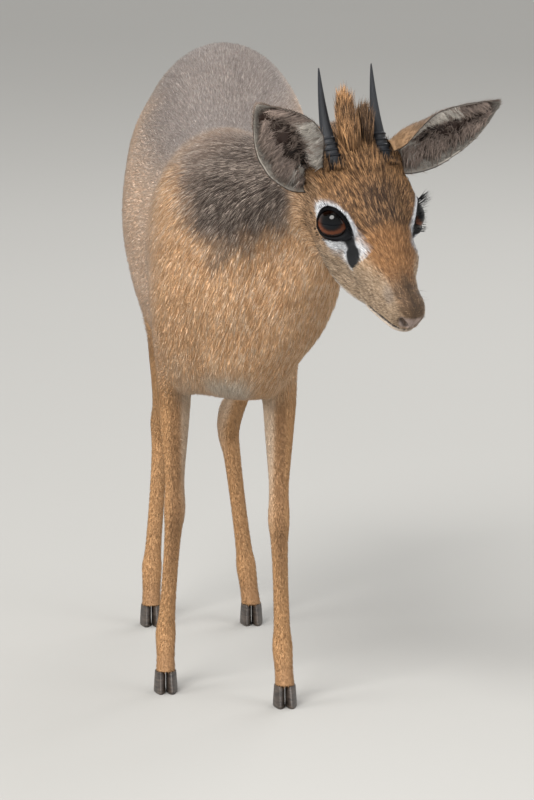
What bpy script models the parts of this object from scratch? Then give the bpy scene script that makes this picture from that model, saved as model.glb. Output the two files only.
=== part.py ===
"""A ram of Kirk's dik-dik, life size, standing with its head turned to its left and lowered.

The animal faces -Y, its left side is +X and the floor is Z = 0. The flesh is one body, blended
from tubes and balls, which is parted into named pieces by thin cuts. Its surface is the tips of
the coat. Ears, horns, eyes, crest and hooves are pieces of their own, seated on the body.
"""
import math

import bmesh
import bpy
import numpy as np
from mathutils import Matrix, Vector

GAP = 0.0003              # clearance between neighbouring pieces
VOXEL = 0.0028            # grain of the rough body before it is drawn smooth
BODY_TRIANGLES = 3860     # of the blended body, all parts together

# Trunk: place along Y, sideways bend, height of the middle, half width, half height
TRUNK = [
    (-0.150, -0.001, 0.270, 0.026, 0.034),
    (-0.132, -0.003, 0.276, 0.038, 0.056),
    (-0.098, -0.003, 0.284, 0.045, 0.078),
    (-0.045, -0.001, 0.289, 0.056, 0.083),
    (0.010, -0.001, 0.294, 0.0635, 0.084),
    (0.060, 0.002, 0.308, 0.0650, 0.081),
    (0.105, 0.007, 0.324, 0.0615, 0.077),
    (0.143, 0.010, 0.331, 0.0550, 0.072),
    (0.167, 0.011, 0.328, 0.0420, 0.056),
]

# Head: set by its pose, then drawn along its own axes (forward to the nose, left, up)
HEAD_ORIGIN = Vector((0.0615, -0.2293, 0.3674))
HEAD_YAW = 27.0           # degrees to the animal's left
HEAD_PITCH = 43.3         # degrees nose down
HEAD_ROLL = 1.8
EYE_RADIUS = 0.0118
EYE_PLACE = (0.0513, 0.0235, 0.0037)
HORN_LENGTH = 0.064
HORN_BASE_RADIUS = 0.0058
HORN_RISE = 30.0          # degrees above the line of the face, measured backwards
HORN_LEAN = 0.0275        # of both horns to the left
HORN_SPREAD = 0.0175      # of each horn outwards
EAR_LENGTH = 0.079
EAR_WIDTH = 0.0440
EAR_THICKNESS = 0.0018
EARS = {                  # root, which way it points, which way it opens, along the head's axes
    "left": ((0.0110, 0.0280, 0.0135), (0.03, 0.83, 0.540), (0.978, -0.08, 0.19)),
    "right": ((0.0125, -0.0270, 0.0060), (-0.11, -0.690, 0.715), (0.985, -0.08, 0.15)),
}
HOOF_LENGTH = 0.025
HOOF_HEIGHT = 0.0135

# Legs: side, then places of the joints (x, y, z). Fore: shoulder, elbow, knee, fetlock, hoof
FORE_LEGS = {
    "left": [(0.0275, -0.118, 0.262), (0.0320, -0.108, 0.205), (0.0305, -0.126, 0.121),
             (0.0330, -0.124, 0.037), (0.0340, -0.134, 0.012)],
    "right": [(-0.033, -0.105, 0.262), (-0.0350, -0.085, 0.205), (-0.0350, -0.084, 0.121),
              (-0.0405, -0.072, 0.037), (-0.0410, -0.082, 0.012)],
}
# Hind: hip, stifle, hock, fetlock, hoof
HIND_LEGS = {
    "left": [(0.028, 0.130, 0.316), (0.0365, 0.100, 0.234), (0.0150, 0.180, 0.132),
             (0.0260, 0.163, 0.038), (0.0290, 0.152, 0.012)],
    "right": [(-0.024, 0.130, 0.316), (-0.0310, 0.100, 0.234), (-0.0310, 0.180, 0.132),
              (-0.0390, 0.163, 0.038), (-0.0400, 0.152, 0.012)],
}

COLOURS = {
    "coat": ((0.44, 0.29, 0.17, 1.0), 0.85),
    "face": ((0.37, 0.22, 0.12, 1.0), 0.85),
    "crest": ((0.24, 0.12, 0.06, 1.0), 0.90),
    "back": ((0.28, 0.23, 0.19, 1.0), 0.90),
    "ear": ((0.30, 0.25, 0.21, 1.0), 0.85),
    "horn": ((0.035, 0.038, 0.046, 1.0), 0.45),
    "hoof": ((0.045, 0.038, 0.034, 1.0), 0.50),
    "eye": ((0.020, 0.010, 0.006, 1.0), 0.05),
}


def head_axes():
    """Unit vectors of the head: forward to the nose, to its left, and up from the face."""
    yaw, pitch, roll = (math.radians(a) for a in (HEAD_YAW, HEAD_PITCH, HEAD_ROLL))
    forward = Vector((
        math.cos(pitch) * math.sin(yaw), -math.cos(pitch) * math.cos(yaw), -math.sin(pitch)
    ))
    level = Vector((math.cos(yaw), math.sin(yaw), 0.0))
    upward = Vector((
        math.sin(pitch) * math.sin(yaw), -math.sin(pitch) * math.cos(yaw), math.cos(pitch)
    ))
    left = level * math.cos(roll) + upward * math.sin(roll)
    up = upward * math.cos(roll) - level * math.sin(roll)
    return forward, left, up


FORWARD, LEFT, UP = head_axes()


def on_head(forward, left, up):
    """A place on the head, in the frame of the whole animal."""
    return HEAD_ORIGIN + FORWARD * forward + LEFT * left + UP * up


def head_direction(forward, left, up):
    return (FORWARD * forward + LEFT * left + UP * up).normalized()


class Tube:
    """A soft tube through rows of (centre, half width along side, half height, side)."""

    def __init__(self, rows, blend, steps=4):
        keys = [list(c) + [w, h] + list(side) for c, w, h, side in rows]
        keys = np.array([keys[0]] + keys + [keys[-1]], float)
        smooth = []
        for i in range(1, len(keys) - 2):
            a, b, c, d = keys[i - 1:i + 3]
            for t in np.arange(steps) / steps:
                smooth.append(0.5 * (
                    2 * b + (c - a) * t + (2 * a - 5 * b + 4 * c - d) * t ** 2
                    + (3 * b - a - 3 * c + d) * t ** 3
                ))
        smooth.append(keys[-2])
        self.rows = np.array(smooth)
        self.blend = blend
        reach = self.rows[:, 3:5].max() + 0.03
        self.low = self.rows[:, :3].min(0) - reach
        self.high = self.rows[:, :3].max(0) + reach

    def distance(self, points):
        best = np.full(len(points), 1.0)
        for a, b in zip(self.rows[:-1], self.rows[1:]):
            along = b[:3] - a[:3]
            share = np.clip((points - a[:3]) @ along / max(along @ along, 1e-12), 0, 1)
            row = a + share[:, None] * (b - a)
            offset = points - row[:, :3]
            side = row[:, 5:] / np.linalg.norm(row[:, 5:], axis=1)[:, None]
            across = (offset * side).sum(1)
            rest = np.maximum((offset ** 2).sum(1) - across ** 2, 0)
            best = np.minimum(best, from_ellipse(
                across ** 2, rest, row[:, 3], row[:, 4]
            ))
        return best

    def beads(self):
        for row in self.rows:
            side = Vector(row[5:]).normalized()
            turn = side.to_track_quat("X", "Z").to_matrix()
            yield row[:3], (row[3], row[4], row[4]), turn


class Ball:
    """An ellipsoid with its own radii along three axes, the columns of turn."""

    def __init__(self, centre, radii, blend, turn=None):
        self.centre, self.radii, self.blend = np.array(centre), radii, blend
        self.turn = turn or Matrix.Identity(3)
        reach = max(radii) + 0.03
        self.low, self.high = self.centre - reach, self.centre + reach

    def distance(self, points):
        local = (points - self.centre) @ np.array(self.turn) / np.array(self.radii)
        near = np.linalg.norm(local, axis=1)
        slope = np.linalg.norm(local / np.array(self.radii), axis=1)
        return near * (near - 1) / np.maximum(slope, 1e-6)

    def beads(self):
        yield self.centre, self.radii, self.turn


def from_ellipse(across2, rest2, width, height):
    """Signed distance from an elliptical section, near its edge."""
    near = np.sqrt(across2 / width ** 2 + rest2 / height ** 2)
    slope = np.sqrt(across2 / width ** 4 + rest2 / height ** 4)
    return near * (near - 1) / np.maximum(slope, 1e-6)


def blended(forms, points):
    """Distance from the smooth union of the forms."""
    total = np.full(len(points), 0.05)
    for form in forms:
        inside = ((points > form.low) & (points < form.high)).all(1)
        if not inside.any():
            continue
        a, b = total[inside], form.distance(points[inside])
        share = np.clip(0.5 + 0.5 * (a - b) / form.blend, 0, 1)
        total[inside] = a * (1 - share) + b * share - form.blend * share * (1 - share)
    return total


def trunk_forms():
    x = (1, 0, 0)
    forms = [Tube([((bend, y, z), w, h, x) for y, bend, z, w, h in TRUNK], 0.01)]
    forms.append(Ball((0, -0.128, 0.232), (0.026, 0.042, 0.030), 0.020))       # brisket
    forms.append(Ball((0, 0.00, 0.247), (0.040, 0.100, 0.038), 0.030))         # belly
    for legs, side in ((HIND_LEGS["left"], 1), (HIND_LEGS["right"], -1)):
        hip, stifle = legs[0], legs[1]
        middle = (0.5 * (hip[0] + stifle[0]) + 0.006 * side, 0.128, 0.287)
        turn = Matrix.Rotation(math.radians(-22), 3, "X")
        forms.append(Ball(middle, (0.0235, 0.046, 0.066), 0.022, turn))        # thigh
    for legs, side in ((FORE_LEGS["left"], 1), (FORE_LEGS["right"], -1)):
        shoulder = legs[0]
        place = (-0.003 + 0.0265 * side, shoulder[1] - 0.012, 0.272)
        forms.append(Ball(place, (0.0185, 0.036, 0.068), 0.022))               # shoulder
    return forms


def neck_forms():
    rows = [
        ((-0.002, -0.070, 0.312), 0.044, 0.050, (1, 0, 0)),
        ((0.000, -0.110, 0.319), 0.041, 0.053, (1, 0.05, 0)),
        ((0.008, -0.145, 0.327), 0.036, 0.047, (1, 0.15, 0)),
        ((0.024, -0.176, 0.337), 0.0310, 0.039, (1, 0.3, 0)),
        ((0.043, -0.204, 0.350), 0.0270, 0.032, (1, 0.45, 0)),
        ((0.060, -0.229, 0.360), 0.0250, 0.028, tuple(LEFT)),
    ]
    throat = [
        ((0.058, -0.213, 0.326), 0.018, 0.018, (1, 0.45, 0)),
        ((0.049, -0.200, 0.302), 0.020, 0.021, (1, 0.35, 0)),
        ((0.040, -0.183, 0.279), 0.026, 0.025, (1, 0.2, 0)),
        ((0.029, -0.166, 0.258), 0.028, 0.028, (1, 0.1, 0)),
        ((0.012, -0.150, 0.238), 0.026, 0.026, (1, 0.1, 0)),
    ]
    return [Tube(rows, 0.022), Tube(throat, 0.020)]


def fore_leg(joints):
    shoulder, elbow, knee, fetlock, hoof = (Vector(j) for j in joints)
    rows = [
        (shoulder, 0.0150, 0.0300), (shoulder.lerp(elbow, 0.6), 0.0140, 0.0240),
        (elbow, 0.0122, 0.0165), (elbow.lerp(knee, 0.35), 0.0098, 0.0118),
        (elbow.lerp(knee, 0.75), 0.0070, 0.0080), (knee, 0.0076, 0.0085),
        (knee.lerp(fetlock, 0.18), 0.0062, 0.0070), (knee.lerp(fetlock, 0.5), 0.0056, 0.0064),
        (knee.lerp(fetlock, 0.85), 0.0060, 0.0068), (fetlock, 0.0072, 0.0082),
        (fetlock.lerp(hoof, 0.5), 0.0066, 0.0072), (hoof, 0.0070, 0.0090),
    ]
    return [Tube([(c, w, h, (1, 0, 0)) for c, w, h in rows], 0.012)]


def hind_leg(joints):
    hip, stifle, hock, fetlock, hoof = (Vector(j) for j in joints)
    rows = [
        (hip, 0.0220, 0.0420), (hip.lerp(stifle, 0.6), 0.0225, 0.0400),
        (stifle, 0.0180, 0.0260), (stifle.lerp(hock, 0.35), 0.0125, 0.0185),
        (stifle.lerp(hock, 0.75), 0.0080, 0.0115), (hock, 0.0080, 0.0120),
        (hock.lerp(fetlock, 0.2), 0.0064, 0.0082), (hock.lerp(fetlock, 0.55), 0.0058, 0.0068),
        (hock.lerp(fetlock, 0.88), 0.0062, 0.0070), (fetlock, 0.0074, 0.0084),
        (fetlock.lerp(hoof, 0.5), 0.0068, 0.0074), (hoof, 0.0072, 0.0090),
    ]
    point = hock + Vector((0, 0.0075, 0.010))
    return [
        Tube([(c, w, h, (1, 0, 0)) for c, w, h in rows], 0.014),
        Ball(point, (0.0052, 0.0060, 0.0110), 0.010),                          # point of hock
    ]


def head_forms():
    """The head without its ears and horns, along its own axes."""
    side = tuple(LEFT)
    turn = Matrix((FORWARD, LEFT, UP)).transposed()
    outline = [            # forward, up, half width, half height
        (0.000, -0.002, 0.0235, 0.0235),
        (0.018, -0.001, 0.0272, 0.0290),
        (0.038, -0.002, 0.0275, 0.0300),
        (0.057, -0.0045, 0.0250, 0.0280),
        (0.075, -0.0070, 0.0195, 0.0235),
        (0.092, -0.0080, 0.0158, 0.0185),
        (0.106, -0.0080, 0.0128, 0.0152),
        (0.115, -0.0070, 0.0108, 0.0126),
    ]
    forms = [Tube([(on_head(f, 0, u), w, h, side) for f, u, w, h in outline], 0.012)]
    forms.append(Ball(on_head(0.1165, 0, -0.0045), (0.0082, 0.0098, 0.0084), 0.008, turn))
    forms.append(Tube([
        (on_head(0.030, 0, -0.025), 0.0210, 0.0185, side),
        (on_head(0.052, 0, -0.030), 0.0205, 0.0175, side),
        (on_head(0.072, 0, -0.0285), 0.0170, 0.0140, side),
        (on_head(0.092, 0, -0.0220), 0.0122, 0.0085, side),
        (on_head(0.106, 0, -0.0170), 0.0092, 0.0058, side),
        (on_head(0.116, 0, -0.0135), 0.0062, 0.0042, side),
    ], 0.008))                                                                 # lower jaw
    for s in (1, -1):
        forms.append(Ball(
            eye_centre(s), (0.0165, 0.0140, 0.0155), 0.008, turn
        ))                                                                     # orbit
        forms.append(Ball(
            on_head(0.034, s * 0.0205, 0.008), (0.0180, 0.0120, 0.0140), 0.010, turn
        ))                                                                     # brow
        forms.append(Ball(
            on_head(0.040, s * 0.0165, -0.013), (0.0260, 0.0105, 0.0180), 0.010, turn
        ))                                                                     # cheek
        forms.append(Ball(
            on_head(0.079, s * 0.0135, -0.003), (0.0120, 0.0080, 0.0095), 0.008, turn
        ))                                                                     # gland before the eye
        forms.append(Ball(
            on_head(0.012, s * 0.0245, 0.009), (0.0135, 0.0110, 0.0130), 0.010, turn
        ))                                                                     # root of the ear
    return forms


def eye_centre(side):
    forward, across, up = EYE_PLACE
    return on_head(forward, across * side, up)


def eye_axis(side):
    return head_direction(0.38, 0.82 * side, 0.42)


def lid_opening(side):
    """A cutter for the opening between the lids of one eye."""
    axis = eye_axis(side)
    centre = eye_centre(side) + axis * EYE_RADIUS
    longways = (FORWARD * 0.8 - UP * 0.6)
    longways = (longways - axis * longways.dot(axis)).normalized()
    turn = Matrix((axis, longways, axis.cross(longways))).transposed()
    opening = ball_object("lid_opening", (0, 0, 0), 1.0)
    opening.data.transform(
        Matrix.Translation(centre) @ turn.to_4x4()
        @ Matrix.Diagonal(Vector((0.0075, 0.0112, 0.0098))).to_4x4()
    )
    return opening


def body_forms():
    forms = trunk_forms() + neck_forms()
    for joints in FORE_LEGS.values():
        forms += fore_leg(joints)
    for joints in HIND_LEGS.values():
        forms += hind_leg(joints)
    return forms + head_forms()


def own_piece(name, forms, triangles):
    """A blended shape that is not part of the body."""
    made = settled(rough_body(forms, 0.0016), forms, passes=3)
    made.name = made.data.name = name
    return thinned(made, triangles)


def tail():
    """The short tail, hanging close to the rump."""
    return own_piece("tail", [Tube([
        ((0.011, 0.196, 0.358), 0.0085, 0.0085, (1, 0, 0)),
        ((0.011, 0.219, 0.350), 0.0085, 0.0080, (1, 0, 0)),
        ((0.011, 0.231, 0.332), 0.0075, 0.0065, (1, 0, 0)),
        ((0.011, 0.233, 0.312), 0.0045, 0.0035, (1, 0, 0)),
    ], 0.006)], 160)


def crest():
    """The erect tuft of hair between the horns, a piece of its own."""
    side = tuple(LEFT)
    locks = [
        Tube([
            (on_head(0.026, 0, 0.016), 0.0130, 0.0095, side),
            (on_head(0.010, -0.001, 0.0265), 0.0115, 0.0085, side),
            (on_head(-0.008, -0.003, 0.0365), 0.0070, 0.0060, side),
            (on_head(-0.020, -0.0045, 0.0425), 0.0032, 0.0030, side),
        ], 0.006),
        Tube([
            (on_head(0.014, 0.005, 0.0220), 0.0080, 0.0070, side),
            (on_head(0.000, 0.0075, 0.0310), 0.0065, 0.0055, side),
            (on_head(-0.009, 0.0085, 0.0365), 0.0035, 0.0030, side),
        ], 0.006),
    ]
    return own_piece("crest", locks, 300)


def mesh_object(name, bm):
    mesh = bpy.data.meshes.new(name)
    bm.to_mesh(mesh)
    bm.free()
    made = bpy.data.objects.new(name, mesh)
    bpy.context.scene.collection.objects.link(made)
    return made


def baked(made):
    """Applies the modifiers of an object."""
    graph = bpy.context.evaluated_depsgraph_get()
    mesh = bpy.data.meshes.new_from_object(made.evaluated_get(graph))
    made.modifiers.clear()
    made.data = mesh
    return made


def rough_body(forms, voxel):
    """The forms as overlapping balls, fused into one closed mesh."""
    bm = bmesh.new()
    for form in forms:
        for centre, radii, turn in form.beads():
            place = (
                Matrix.Translation(Vector(centre)) @ turn.to_4x4()
                @ Matrix.Diagonal(Vector(radii)).to_4x4()
            )
            bmesh.ops.create_icosphere(bm, subdivisions=2, radius=1.0, matrix=place)
    return fused(mesh_object("body", bm), voxel)


def fused(body, voxel):
    """One closed skin in place of overlapping or folded ones."""
    remesh = body.modifiers.new("Fuse", "REMESH")
    remesh.mode, remesh.voxel_size = "VOXEL", voxel
    return baked(body)


def coordinates(mesh):
    points = np.empty(len(mesh.vertices) * 3)
    mesh.vertices.foreach_get("co", points)
    return points.reshape(-1, 3)


def settled(body, forms, passes):
    """Moves each point along its normal until it lies on the blended surface."""
    mesh = body.data
    for _ in range(passes):
        points = coordinates(mesh)
        normals = np.empty(len(mesh.vertices) * 3)
        mesh.vertex_normals.foreach_get("vector", normals)
        off = np.clip(blended(forms, points), -0.004, 0.004)
        points -= normals.reshape(-1, 3) * off[:, None] * 0.8
        mesh.vertices.foreach_set("co", points.ravel())
        mesh.update()
    return body


def thinned(body, triangles):
    thin = body.modifiers.new("Thin", "DECIMATE")
    thin.ratio = triangles / (2 * len(body.data.polygons))
    thin.use_collapse_triangulate = True
    return baked(body)


def disc(name, centre, normal, wide, deep, across=(1, 0, 0), thick=GAP):
    """A thin cutter: half width wide along across, half width deep the other way."""
    bm = bmesh.new()
    bmesh.ops.create_cone(
        bm, cap_ends=True, segments=32, radius1=1.0, radius2=1.0, depth=1.0
    )
    normal = Vector(normal).normalized()
    across = Vector(across)
    across = (across - normal * across.dot(normal)).normalized()
    turn = Matrix((across, normal.cross(across), normal)).transposed()
    bmesh.ops.transform(bm, matrix=(
        Matrix.Translation(Vector(centre)) @ turn.to_4x4()
        @ Matrix.Diagonal(Vector((wide, deep, thick))).to_4x4()
    ), verts=bm.verts)
    return mesh_object(name, bm)


def cut(piece, cutter, cutters):
    """Takes the cutter's shape off the piece. The cutter stays, as a wire, for reference."""
    trim = piece.modifiers.new("Cut", "BOOLEAN")
    trim.operation, trim.object, trim.solver = "DIFFERENCE", cutter, "EXACT"
    bpy.context.view_layer.update()
    baked(piece)
    bpy.context.scene.collection.objects.unlink(cutter)
    cutters.objects.link(cutter)
    cutter.hide_render, cutter.display_type = True, "WIRE"


def part_cuts():
    """Thin discs where one named part of the body ends and the next begins."""
    cuts = [
        disc("cut_neck", (0.002, -0.137, 0.330), (0.22, -0.70, 0.68), 0.095, 0.115),
        disc("cut_head", on_head(0.006, 0, -0.014), FORWARD * 0.50 + UP * 0.86, 0.060, 0.068,
             across=LEFT),
    ]
    for name, joints in FORE_LEGS.items():
        elbow, side = Vector(joints[1]), 1 if name == "left" else -1
        cuts.append(disc(
            f"cut_fore_{name}", elbow + Vector((0, -0.002, -0.007)),
            (0.45 * side, 0, -1), 0.026, 0.034
        ))
    for name, joints in HIND_LEGS.items():
        stifle, side = Vector(joints[1]), 1 if name == "left" else -1
        cuts.append(disc(
            f"cut_hind_{name}", stifle + Vector((0, 0.026, -0.005)),
            (0.30 * side, 0.35, -1), 0.031, 0.066
        ))
    return cuts


def ground_box():
    """What the feet of the body lose to the hooves."""
    bm = bmesh.new()
    bmesh.ops.create_cube(bm, size=1.0)
    top = HOOF_HEIGHT + GAP
    bmesh.ops.transform(bm, matrix=(
        Matrix.Translation((0, 0, top - 0.05)) @ Matrix.Diagonal((0.6, 0.9, 0.1, 1))
    ), verts=bm.verts)
    return mesh_object("cut_ground", bm)


def islands(body):
    """The closed bodies within one mesh, each as a mesh of its own, largest first."""
    bm = bmesh.new()
    bm.from_mesh(body.data)
    left = set(bm.verts)
    groups = []
    while left:
        group, front = set(), [left.pop()]
        while front:
            v = front.pop()
            group.add(v)
            for edge in v.link_edges:
                other = edge.other_vert(v)
                if other in left:
                    left.remove(other)
                    front.append(other)
        groups.append(group)
    pieces = []
    for group in sorted(groups, key=len, reverse=True):
        piece = bmesh.new()
        copies = {v: piece.verts.new(v.co) for v in group}
        for face in bm.faces:
            if face.verts[0] in group:
                piece.faces.new([copies[v] for v in face.verts])
        pieces.append(piece)
    bm.free()
    return pieces


def split(body):
    """An object for each closed body of a mesh, which goes."""
    pieces = [mesh_object("piece", piece) for piece in islands(body)]
    bpy.data.objects.remove(body)
    return pieces


def seat(piece, body, cutters):
    """Cuts the root of a piece to the body, and drops what the cut leaves loose."""
    cut(piece, grown(body, GAP), cutters)
    whole, *loose = islands(piece)
    whole.to_mesh(piece.data)
    for bm in [whole] + loose:
        bm.free()


def named(pieces, seeds):
    """Names each piece by the seed that lies nearest to its middle."""
    found = {}
    for piece in pieces:
        points = coordinates(piece.data)
        middle = (points.min(0) + points.max(0)) / 2
        name = min(seeds, key=lambda n: np.linalg.norm(np.array(seeds[n]) - middle))
        if name in found:
            raise ValueError(f"two pieces are nearest to {name}")
        piece.name = piece.data.name = name
        found[name] = piece
    return found


def grown(source, by):
    """A copy of a mesh with its surface moved out, as a cutter."""
    mesh = source.data.copy()
    points = coordinates(mesh)
    normals = np.empty(len(mesh.vertices) * 3)
    mesh.vertex_normals.foreach_get("vector", normals)
    mesh.vertices.foreach_set("co", (points + normals.reshape(-1, 3) * by).ravel())
    cutter = bpy.data.objects.new("grown", mesh)
    bpy.context.scene.collection.objects.link(cutter)
    return cutter


def ball_object(name, centre, radius, segments=20, rings=12):
    bm = bmesh.new()
    bmesh.ops.create_uvsphere(
        bm, u_segments=segments, v_segments=rings, radius=radius,
        matrix=Matrix.Translation(Vector(centre))
    )
    return mesh_object(name, bm)


def ear_point(across, along, base, axis, facing):
    """A place on the ear's middle surface: across from -1 to 1, along from base to tip."""
    wide = 0.5 * EAR_WIDTH * leaf(along)
    bend = math.radians(215 - 125 * min(1.0, along / 0.45) - 25 * along)
    radius = 2 * wide / bend
    angle = 0.5 * bend * across
    sideways = axis.cross(facing)
    back_curl = 0.007 * along ** 2
    return (
        base + axis * (EAR_LENGTH * along) + sideways * (radius * math.sin(angle))
        + facing * (radius * (1 - math.cos(angle)) - back_curl)
    )


def leaf(along):
    """Width of the ear along its length, as a share of the widest."""
    rise = 0.64 + 0.36 * math.sin(min(1.0, along / 0.45) * math.pi / 2)
    fall = max(0.0, (along - 0.45) / 0.55)
    return max(0.05, rise * (1 - fall ** 2.3) ** 0.8)


def ear(name, side, base, axis, facing):
    """A cupped leaf: an open curved grid given its thickness."""
    facing = (facing - axis * facing.dot(axis)).normalized()
    bm = bmesh.new()
    bmesh.ops.create_grid(bm, x_segments=8, y_segments=12, size=1.0)
    for v in bm.verts:
        along = (v.co.y + 1) / 2
        v.co = ear_point(v.co.x * side, along, base, axis, facing)
    made = mesh_object(name, bm)
    shell = made.modifiers.new("Thickness", "SOLIDIFY")
    shell.thickness, shell.offset = EAR_THICKNESS, 0.0
    return baked(made)


def horn(name, side, lean):
    """A ringed, slightly bowed spike, thick at its root."""
    rise = math.radians(HORN_RISE)
    axis = head_direction(-math.cos(rise), lean, math.sin(rise))
    root = on_head(0.0105, 0.0180 * side, 0.0225) - axis * 0.008
    bow = UP * -0.0035
    count = 19
    curve = bpy.data.curves.new(name, "CURVE")
    curve.dimensions = "3D"
    curve.bevel_depth, curve.bevel_resolution = 1.0, 2
    curve.use_fill_caps = True
    spline = curve.splines.new("POLY")
    spline.points.add(count - 1)
    for i, point in enumerate(spline.points):
        share = i / (count - 1)
        place = root + axis * (HORN_LENGTH * share) + bow * (4 * share * (1 - share))
        taper = HORN_BASE_RADIUS * (1 - share) ** 0.85 + 0.0005
        ring = 0.00055 * math.cos(share * 2 * math.pi * 9) * max(0.0, 1 - share / 0.38)
        point.co = (*place, 1.0)
        point.radius = taper + ring
    made = bpy.data.objects.new(name, curve)
    bpy.context.scene.collection.objects.link(made)
    return as_mesh(made)


def as_mesh(curve_object):
    """A curve object as a welded mesh object of the same name."""
    name = curve_object.name
    graph = bpy.context.evaluated_depsgraph_get()
    mesh = bpy.data.meshes.new_from_object(curve_object.evaluated_get(graph))
    bpy.data.objects.remove(curve_object)
    bm = bmesh.new()
    bm.from_mesh(mesh)
    bmesh.ops.remove_doubles(bm, verts=bm.verts, dist=0.00001)
    bmesh.ops.recalc_face_normals(bm, faces=bm.faces)
    return mesh_object(name, bm)


def hoof(name, foot, inner):
    """One toe: flat below, pointed in front, its inner wall straight. inner is 1 or -1."""
    bm = bmesh.new()
    bmesh.ops.create_cone(bm, cap_ends=True, segments=18, radius1=1, radius2=1, depth=1)
    for v in bm.verts:
        angle = math.atan2(v.co.y, v.co.x)
        across, ahead = math.cos(angle), -math.sin(angle)
        top = v.co.z > 0
        width = 0.0078 * (1 - 0.35 * max(0.0, ahead) ** 1.5)
        x = 0.5 * width * (across if across * inner < 0 else 0.75 * across)
        length = HOOF_LENGTH * (0.60 if ahead > 0 else 0.34)
        y = -length * ahead
        if top:
            x *= 0.93
            y = y * (0.52 if ahead > 0 else 0.92) + 0.001
        shift = 0.0041 * inner
        v.co = (foot[0] - shift + x, foot[1] + y, HOOF_HEIGHT if top else 0.0)
    return mesh_object(name, bm)


def finished(made, kind, collection, holder):
    """Gives a piece its material, shading, own origin and place in the scene."""
    colour, rough = COLOURS[kind]
    material = bpy.data.materials.get(kind)
    if material is None:
        material = bpy.data.materials.new(kind)
        material.use_nodes = True
        shader = material.node_tree.nodes["Principled BSDF"]
        shader.inputs["Base Color"].default_value = colour
        shader.inputs["Roughness"].default_value = rough
    made.data.materials.clear()
    made.data.materials.append(material)
    points = coordinates(made.data)
    middle = Vector((points.min(0) + points.max(0)) / 2)
    made.data.transform(Matrix.Translation(-middle))
    made.location = middle
    made.data.shade_smooth()
    made.data.set_sharp_from_angle(angle=math.radians(40))
    made.parent = holder
    for other in list(made.users_collection):
        other.objects.unlink(made)
    collection.objects.link(made)


def new_collection(name):
    collection = bpy.data.collections.new(name)
    bpy.context.scene.collection.children.link(collection)
    return collection


def body_parts(cutters):
    """The blended body, cut into its named parts."""
    forms = body_forms()
    body = settled(rough_body(forms, VOXEL), forms, passes=4)
    body = settled(fused(body, VOXEL), forms, passes=3)
    body = thinned(body, BODY_TRIANGLES)
    for cutter in part_cuts() + [ground_box()]:
        cut(body, cutter, cutters)
    seeds = {
        "trunk": (0.005, 0.030, 0.290), "neck": (0.030, -0.180, 0.325),
        "head": on_head(0.062, 0, -0.005),
    }
    for name, joints in FORE_LEGS.items():
        seeds[f"fore_leg_{name}"] = Vector(joints[2]) - Vector((0, 0, 0.01))
    for name, joints in HIND_LEGS.items():
        seeds[f"hind_leg_{name}"] = Vector(joints[2]) + Vector((0, -0.02, 0))
    return named(split(body), seeds)


def main():
    for old in list(bpy.data.objects):
        bpy.data.objects.remove(old)
    animal, cutters = new_collection("dik_dik"), new_collection("cutters")
    parts = body_parts(cutters)
    head = parts["head"]
    kinds = {name: "coat" for name in parts}
    kinds.update(trunk="back", head="face")
    for name, side in (("left", 1), ("right", -1)):
        root, points_to, opens_to = EARS[name]
        made = {
            "eye": ball_object(f"eye_{name}", eye_centre(side), EYE_RADIUS),
            "ear": ear(
                f"ear_{name}", side, on_head(*root), head_direction(*points_to),
                head_direction(*opens_to)
            ),
            "horn": horn(f"horn_{name}", side, HORN_LEAN + HORN_SPREAD * side),
        }
        for kind, piece in made.items():
            parts[piece.name], kinds[piece.name] = piece, kind
    parts["crest"], kinds["crest"] = crest(), "crest"
    for name in ("ear_left", "ear_right", "horn_left", "horn_right", "crest"):
        seat(parts[name], head, cutters)
    parts["tail"], kinds["tail"] = tail(), "back"
    seat(parts["tail"], parts["trunk"], cutters)
    for name, side in (("left", 1), ("right", -1)):
        cut(head, lid_opening(side), cutters)
        socket = ball_object(f"socket_{name}", eye_centre(side), EYE_RADIUS + GAP)
        cut(head, socket, cutters)
    for end, legs in (("fore", FORE_LEGS), ("hind", HIND_LEGS)):
        for side_name, joints in legs.items():
            for toe, inner in (("inner", 1), ("outer", -1)):
                name = f"hoof_{end}_{side_name}_{toe}"
                parts[name], kinds[name] = hoof(name, joints[4], inner), "hoof"
    corners = np.concatenate([coordinates(part.data) for part in parts.values()])
    low, high = corners.min(0), corners.max(0)
    holder = bpy.data.objects.new("standing_point", None)
    animal.objects.link(holder)
    holder.location = -(low[0] + high[0]) / 2, -(low[1] + high[1]) / 2, -low[2]
    for name, part in parts.items():
        finished(part, kinds[name], animal, holder)
    bpy.context.view_layer.update()


if __name__ == "__main__":
    main()
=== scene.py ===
# A life-size ram dik-dik, still, as a museum shows it: skin, coat, ears, eyes, horns and hooves
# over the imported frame. Shapes are worked out in the solids' own drawing frame and then shifted.
import math

import bmesh
import bpy
import numpy as np
from mathutils import Matrix, Vector
from mathutils.bvhtree import BVHTree


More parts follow.
